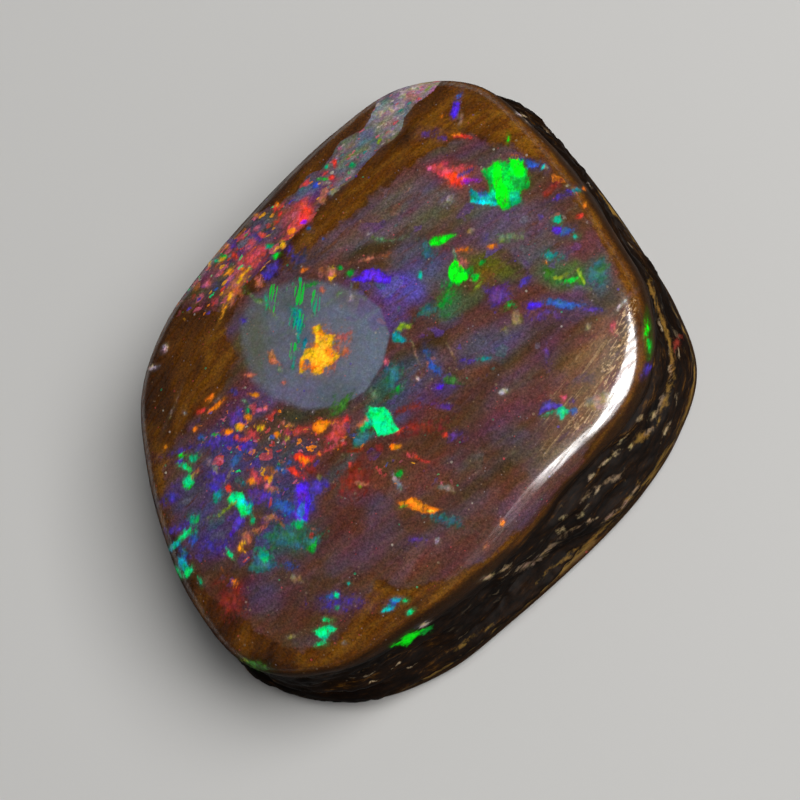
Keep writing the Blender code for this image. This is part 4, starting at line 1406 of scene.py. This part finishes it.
def stone_finish(settings):
    """The stone's one material: ironstone, haze, potch, vein, flecks and flashes."""
    material = bpy.data.materials.new("boulder_opal_finish")
    material.use_nodes = True
    tree = material.node_tree
    tree.nodes.clear()
    f = Finish(tree)
    place = f.scaled(f.make("ShaderNodeTexCoord", None, None, "Object"), 1 / MM)
    wall = f.layer("wall")
    polish = f.layer("polish")
    grain = f.noise(place, 19.0, 3.0, 0.65)
    fine = f.noise(place, 31.0, 1.0, 0.5)
    ragged = f.noise(f.drawn(place, 1.8, FLOW_TURN), 9.0, 4.0, 0.7)
    scratches = f.noise(f.drawn(place, 26.0, SCRATCH_TURN), 15.0, 2.0, 0.6)

    # The face with its flecks, its dark rim with painted shade, its scratches with painted highlights and
    # its painted sparkle
    face, bands = face_colours(f, place, settings)
    face = laid_flecks(f, place, face)
    face = f.mix(f.layer("rim") * (1 - 0.7 * f.layer("vein")) * 0.9, face, rgb("rim"))
    face = f.tint(face, place, 9.0, (0.3, 0.3, 0.4), 1.0)
    # Pale scratch lines: real scratches, with painted highlight where they lie beside the highlight
    lit_hairlines = f.step(scratches, 0.52, 0.66) * f.step(f.layer("scratched") * ragged, 0.22, 0.62)
    face = f.mix(lit_hairlines * 0.7, face, rgb("scratch"))
    # Painted sparkle of golden glints beside the highlight
    speckle = f.step(f.noise(f.drawn(place, 3.5, SCRATCH_TURN), 24.0, 2.0, 0.6), 0.50, 0.62)
    speckle = speckle * f.step(f.layer("speckled") * ragged, 0.18, 0.50)
    face = f.mix(speckle * 0.8, face, rgb("speckle"))
    calm = 1 - 0.55 * f.layer("potch")
    face = f.shade(face, (1 + (grain - 0.5) * 1.9 * calm) * (1 + (fine - 0.5) * 1.3 * calm))

    # Flashes: ragged at the edge, streaked and cracked inside
    weave = f.noise(f.drawn(place, 3.0, COMB_TURN), 10.0, 4.0, 0.72)
    depth = f.layer("flash", "Alpha")
    hue = f.layer("flash", "Color")
    edge = depth + (ragged - 0.5) * 0.9 + (weave - 0.5) * 0.5
    strength = f.step(edge, 0.38, 0.66) * f.step(weave, 0.22, 0.44)
    mottled = f.step(f.noise(place, 12.0, 3.0, 0.7), 0.38, 0.56)
    light = (0.05 + 0.85 * depth) * (2.4 * weave - 0.1) * (0.4 + 1.2 * grain)
    flash = f.shade(f.tint(hue, place, 6.0, (1.4, 1.2, 3.4)), light * (0.82 + 0.30 * mottled))
    face = f.mix(f.step(depth, 0.0, 0.5) * ragged * 0.4, face, flash)
    face = f.mix(strength, face, flash)

    # Comb of thin broken green lines at the top of the oval
    lines = f.noise(f.drawn(place, 9.0, COMB_TURN), 15.0, 2.0, 0.6)
    broken = f.noise(place, 6.0, 2.0, 0.6)
    comb = f.step(lines, 0.50, 0.56) * f.step(f.layer("comb") * broken, 0.20, 0.34)
    teeth = f.mix(f.step(f.noise(place, 1.6), 0.46, 0.56), rgb("green"), rgb("jade"))
    face = f.mix(comb * 0.9, face, teeth)

    # The wall, where marks keep their own colour
    rock, height = wall_colours(f, place, grain)
    plain = f.shade(hue, (0.1 + 0.9 * depth) * (0.3 + 1.3 * grain))
    whole = f.mix(f.step(wall, 0.02, 0.50), face, f.mix(strength, rock, plain))

    # Sawn base
    under = f.step(height, 0.06, 0.0)
    saw = f.noise(f.drawn(place, 40.0, SAW_TURN), 7.0, 3.0, 0.6)
    whole = f.mix(under, whole, f.ramp(SAWN_ROCK, bands * 0.6 + saw * 0.4))

    # Gloss, scratches and fine relief
    scratch = f.step(scratches, 0.58, 0.70)
    rough = 0.18 + 0.14 * grain + scratch * 0.20 + (1 - polish) * 0.34 + under * 0.1
    coat = polish * (0.35 + 0.65 * f.step(scratches, 0.60, 0.46)) * f.step(grain, 0.22, 0.44)
    relief = (grain * 0.5 + fine * 0.3) * (0.25 + (1 - polish) * 0.9) - scratch * 0.35 + saw * under
    bump = f.make("ShaderNodeBump", None,
                  {"Strength": BUMP_STRENGTH, "Distance": BUMP_DEPTH * MM, "Height": relief})
    shader = f.make("ShaderNodeBsdfPrincipled", None, {
        "Base Color": whole, "Roughness": rough, "Normal": bump, "IOR": STONE_IOR,
        "Specular IOR Level": STONE_SHINE, "Coat Weight": coat,
        "Coat Roughness": POLISH_ROUGHNESS, "Coat IOR": POLISH_IOR,
        "Emission Color": f.shade(flash, strength), "Emission Strength": settings.flash_glow,
    }, "BSDF")
    f.node("ShaderNodeOutputMaterial", None, {"Surface": shader})
    return material


def plain_copy(thing):
    """The object as its modifiers make it, as a plain mesh in an object of its own."""
    graph = bpy.context.evaluated_depsgraph_get()
    mesh = bpy.data.meshes.new_from_object(
        thing.evaluated_get(graph), preserve_all_data_layers=True, depsgraph=graph)
    bpy.data.objects.remove(thing)
    piece = bpy.data.objects.new("boulder_opal", mesh)
    bpy.context.scene.collection.objects.link(piece)
    return piece


class OPAL_OT_stone(bpy.types.Operator):
    """Builds the stone with its relief and its finish"""

    bl_idname = "opal.stone"
    bl_label = "Build the stone"

    def execute(self, context):
        settings = context.scene.opal_stone
        mesh = stone_mesh()
        mark_stone(mesh, Sight())
        rough_stone = bpy.data.objects.new("rough_stone", mesh)
        context.scene.collection.objects.link(rough_stone)
        set_relief(rough_stone, stone_finish(settings), settings)
        stone = plain_copy(rough_stone)
        stone.data.shade_smooth()
        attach(stone, "root")
        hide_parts(STONE_NODE)
        return {"FINISHED"}


class OPAL_OT_stage(bpy.types.Operator):
    """Sets up the pale floor, the soft light and the camera"""

    bl_idname = "opal.stage"
    bl_label = "Set up the stage"

    def execute(self, context):
        settings = context.scene.opal_stage
        scene = context.scene
        add_floor(scene, settings.floor_colour)
        for light in LIGHTS:
            add_light(scene, light, getattr(settings, light.name + "_power"))
        add_sky(scene, settings.sky_strength)
        add_camera(scene, Sight())
        scene.view_settings.view_transform = "Standard"
        return {"FINISHED"}


def add_floor(scene, colour):
    """A wide flat floor under the stone."""
    h = FLOOR_HALF
    mesh = bpy.data.meshes.new("floor")
    mesh.from_pydata([(-h, -h, 0), (h, -h, 0), (h, h, 0), (-h, h, 0)], [], [(0, 1, 2, 3)])
    material = bpy.data.materials.new("floor_paper")
    material.use_nodes = True
    shader = material.node_tree.nodes["Principled BSDF"]
    shader.inputs["Base Color"].default_value = rgb(colour)
    shader.inputs["Roughness"].default_value = FLOOR_ROUGHNESS
    shader.inputs["Specular IOR Level"].default_value = FLOOR_SHINE
    mesh.materials.append(material)
    floor = bpy.data.objects.new("floor", mesh)
    scene.collection.objects.link(floor)


def add_light(scene, setting, power):
    """A soft rectangular light that faces the stone, its long side level before it is rolled."""
    data = bpy.data.lights.new(setting.name, "AREA")
    data.shape = "RECTANGLE"
    data.energy = power
    data.size = setting.wide
    data.size_y = setting.high
    light = bpy.data.objects.new(setting.name, data)
    turn, rise = math.radians(setting.turn), math.radians(setting.rise)
    away = Vector((math.cos(turn) * math.cos(rise), math.sin(turn) * math.cos(rise),
                   math.sin(rise)))
    level = Vector((-math.sin(turn), math.cos(turn), 0))
    axes = Matrix((level, away.cross(level), away)).transposed()
    roll = Matrix.Rotation(math.radians(setting.roll), 4, "Z")
    light.matrix_world = Matrix.Translation(away * setting.distance) @ axes.to_4x4() @ roll
    light.visible_camera = False
    setattr(light, setting.unseen, False)
    scene.collection.objects.link(light)


def add_sky(scene, strength):
    """Even pale light from all round."""
    world = bpy.data.worlds.new("sky")
    world.use_nodes = True
    background = world.node_tree.nodes["Background"]
    background.inputs["Color"].default_value = rgb(SKY_COLOUR)
    background.inputs["Strength"].default_value = strength
    scene.world = world


def add_camera(scene, sight):
    """The camera at the picture's own place."""
    data = bpy.data.cameras.new("camera")
    data.lens = LENS
    data.sensor_width = SENSOR
    data.clip_start, data.clip_end = CAMERA_CLIP
    camera = bpy.data.objects.new("camera", data)
    axes = Matrix((sight.right, sight.up, sight.back)).transposed()
    camera.matrix_world = Matrix.Translation(sight.eye * MM) @ axes.to_4x4()
    scene.collection.objects.link(camera)
    scene.camera = camera


class OPAL_PT_panel(bpy.types.Panel):
    """Lists the stone's settings and its building steps"""

    bl_idname = "OPAL_PT_panel"
    bl_label = "Boulder opal"
    bl_space_type = "VIEW_3D"
    bl_region_type = "UI"
    bl_category = "Opal"

    def draw(self, context):
        layout = self.layout
        for group in (context.scene.opal_stone, context.scene.opal_stage):
            box = layout.box()
            for name in group.__annotations__:
                box.prop(group, name)
        layout.operator(OPAL_OT_stone.bl_idname)
        layout.operator(OPAL_OT_stage.bl_idname)


CLASSES = (StoneSettings, StageSettings, OPAL_OT_stone, OPAL_OT_stage, OPAL_PT_panel)


def register():
    for kind in CLASSES:
        bpy.utils.register_class(kind)
    bpy.types.Scene.opal_stone = bpy.props.PointerProperty(type=StoneSettings)
    bpy.types.Scene.opal_stage = bpy.props.PointerProperty(type=StageSettings)


def unregister():
    del bpy.types.Scene.opal_stage
    del bpy.types.Scene.opal_stone
    for kind in reversed(CLASSES):
        bpy.utils.unregister_class(kind)


def main():
    register()
    bpy.ops.opal.stone()
    bpy.ops.opal.stage()


if __name__ == "__main__":
    main()
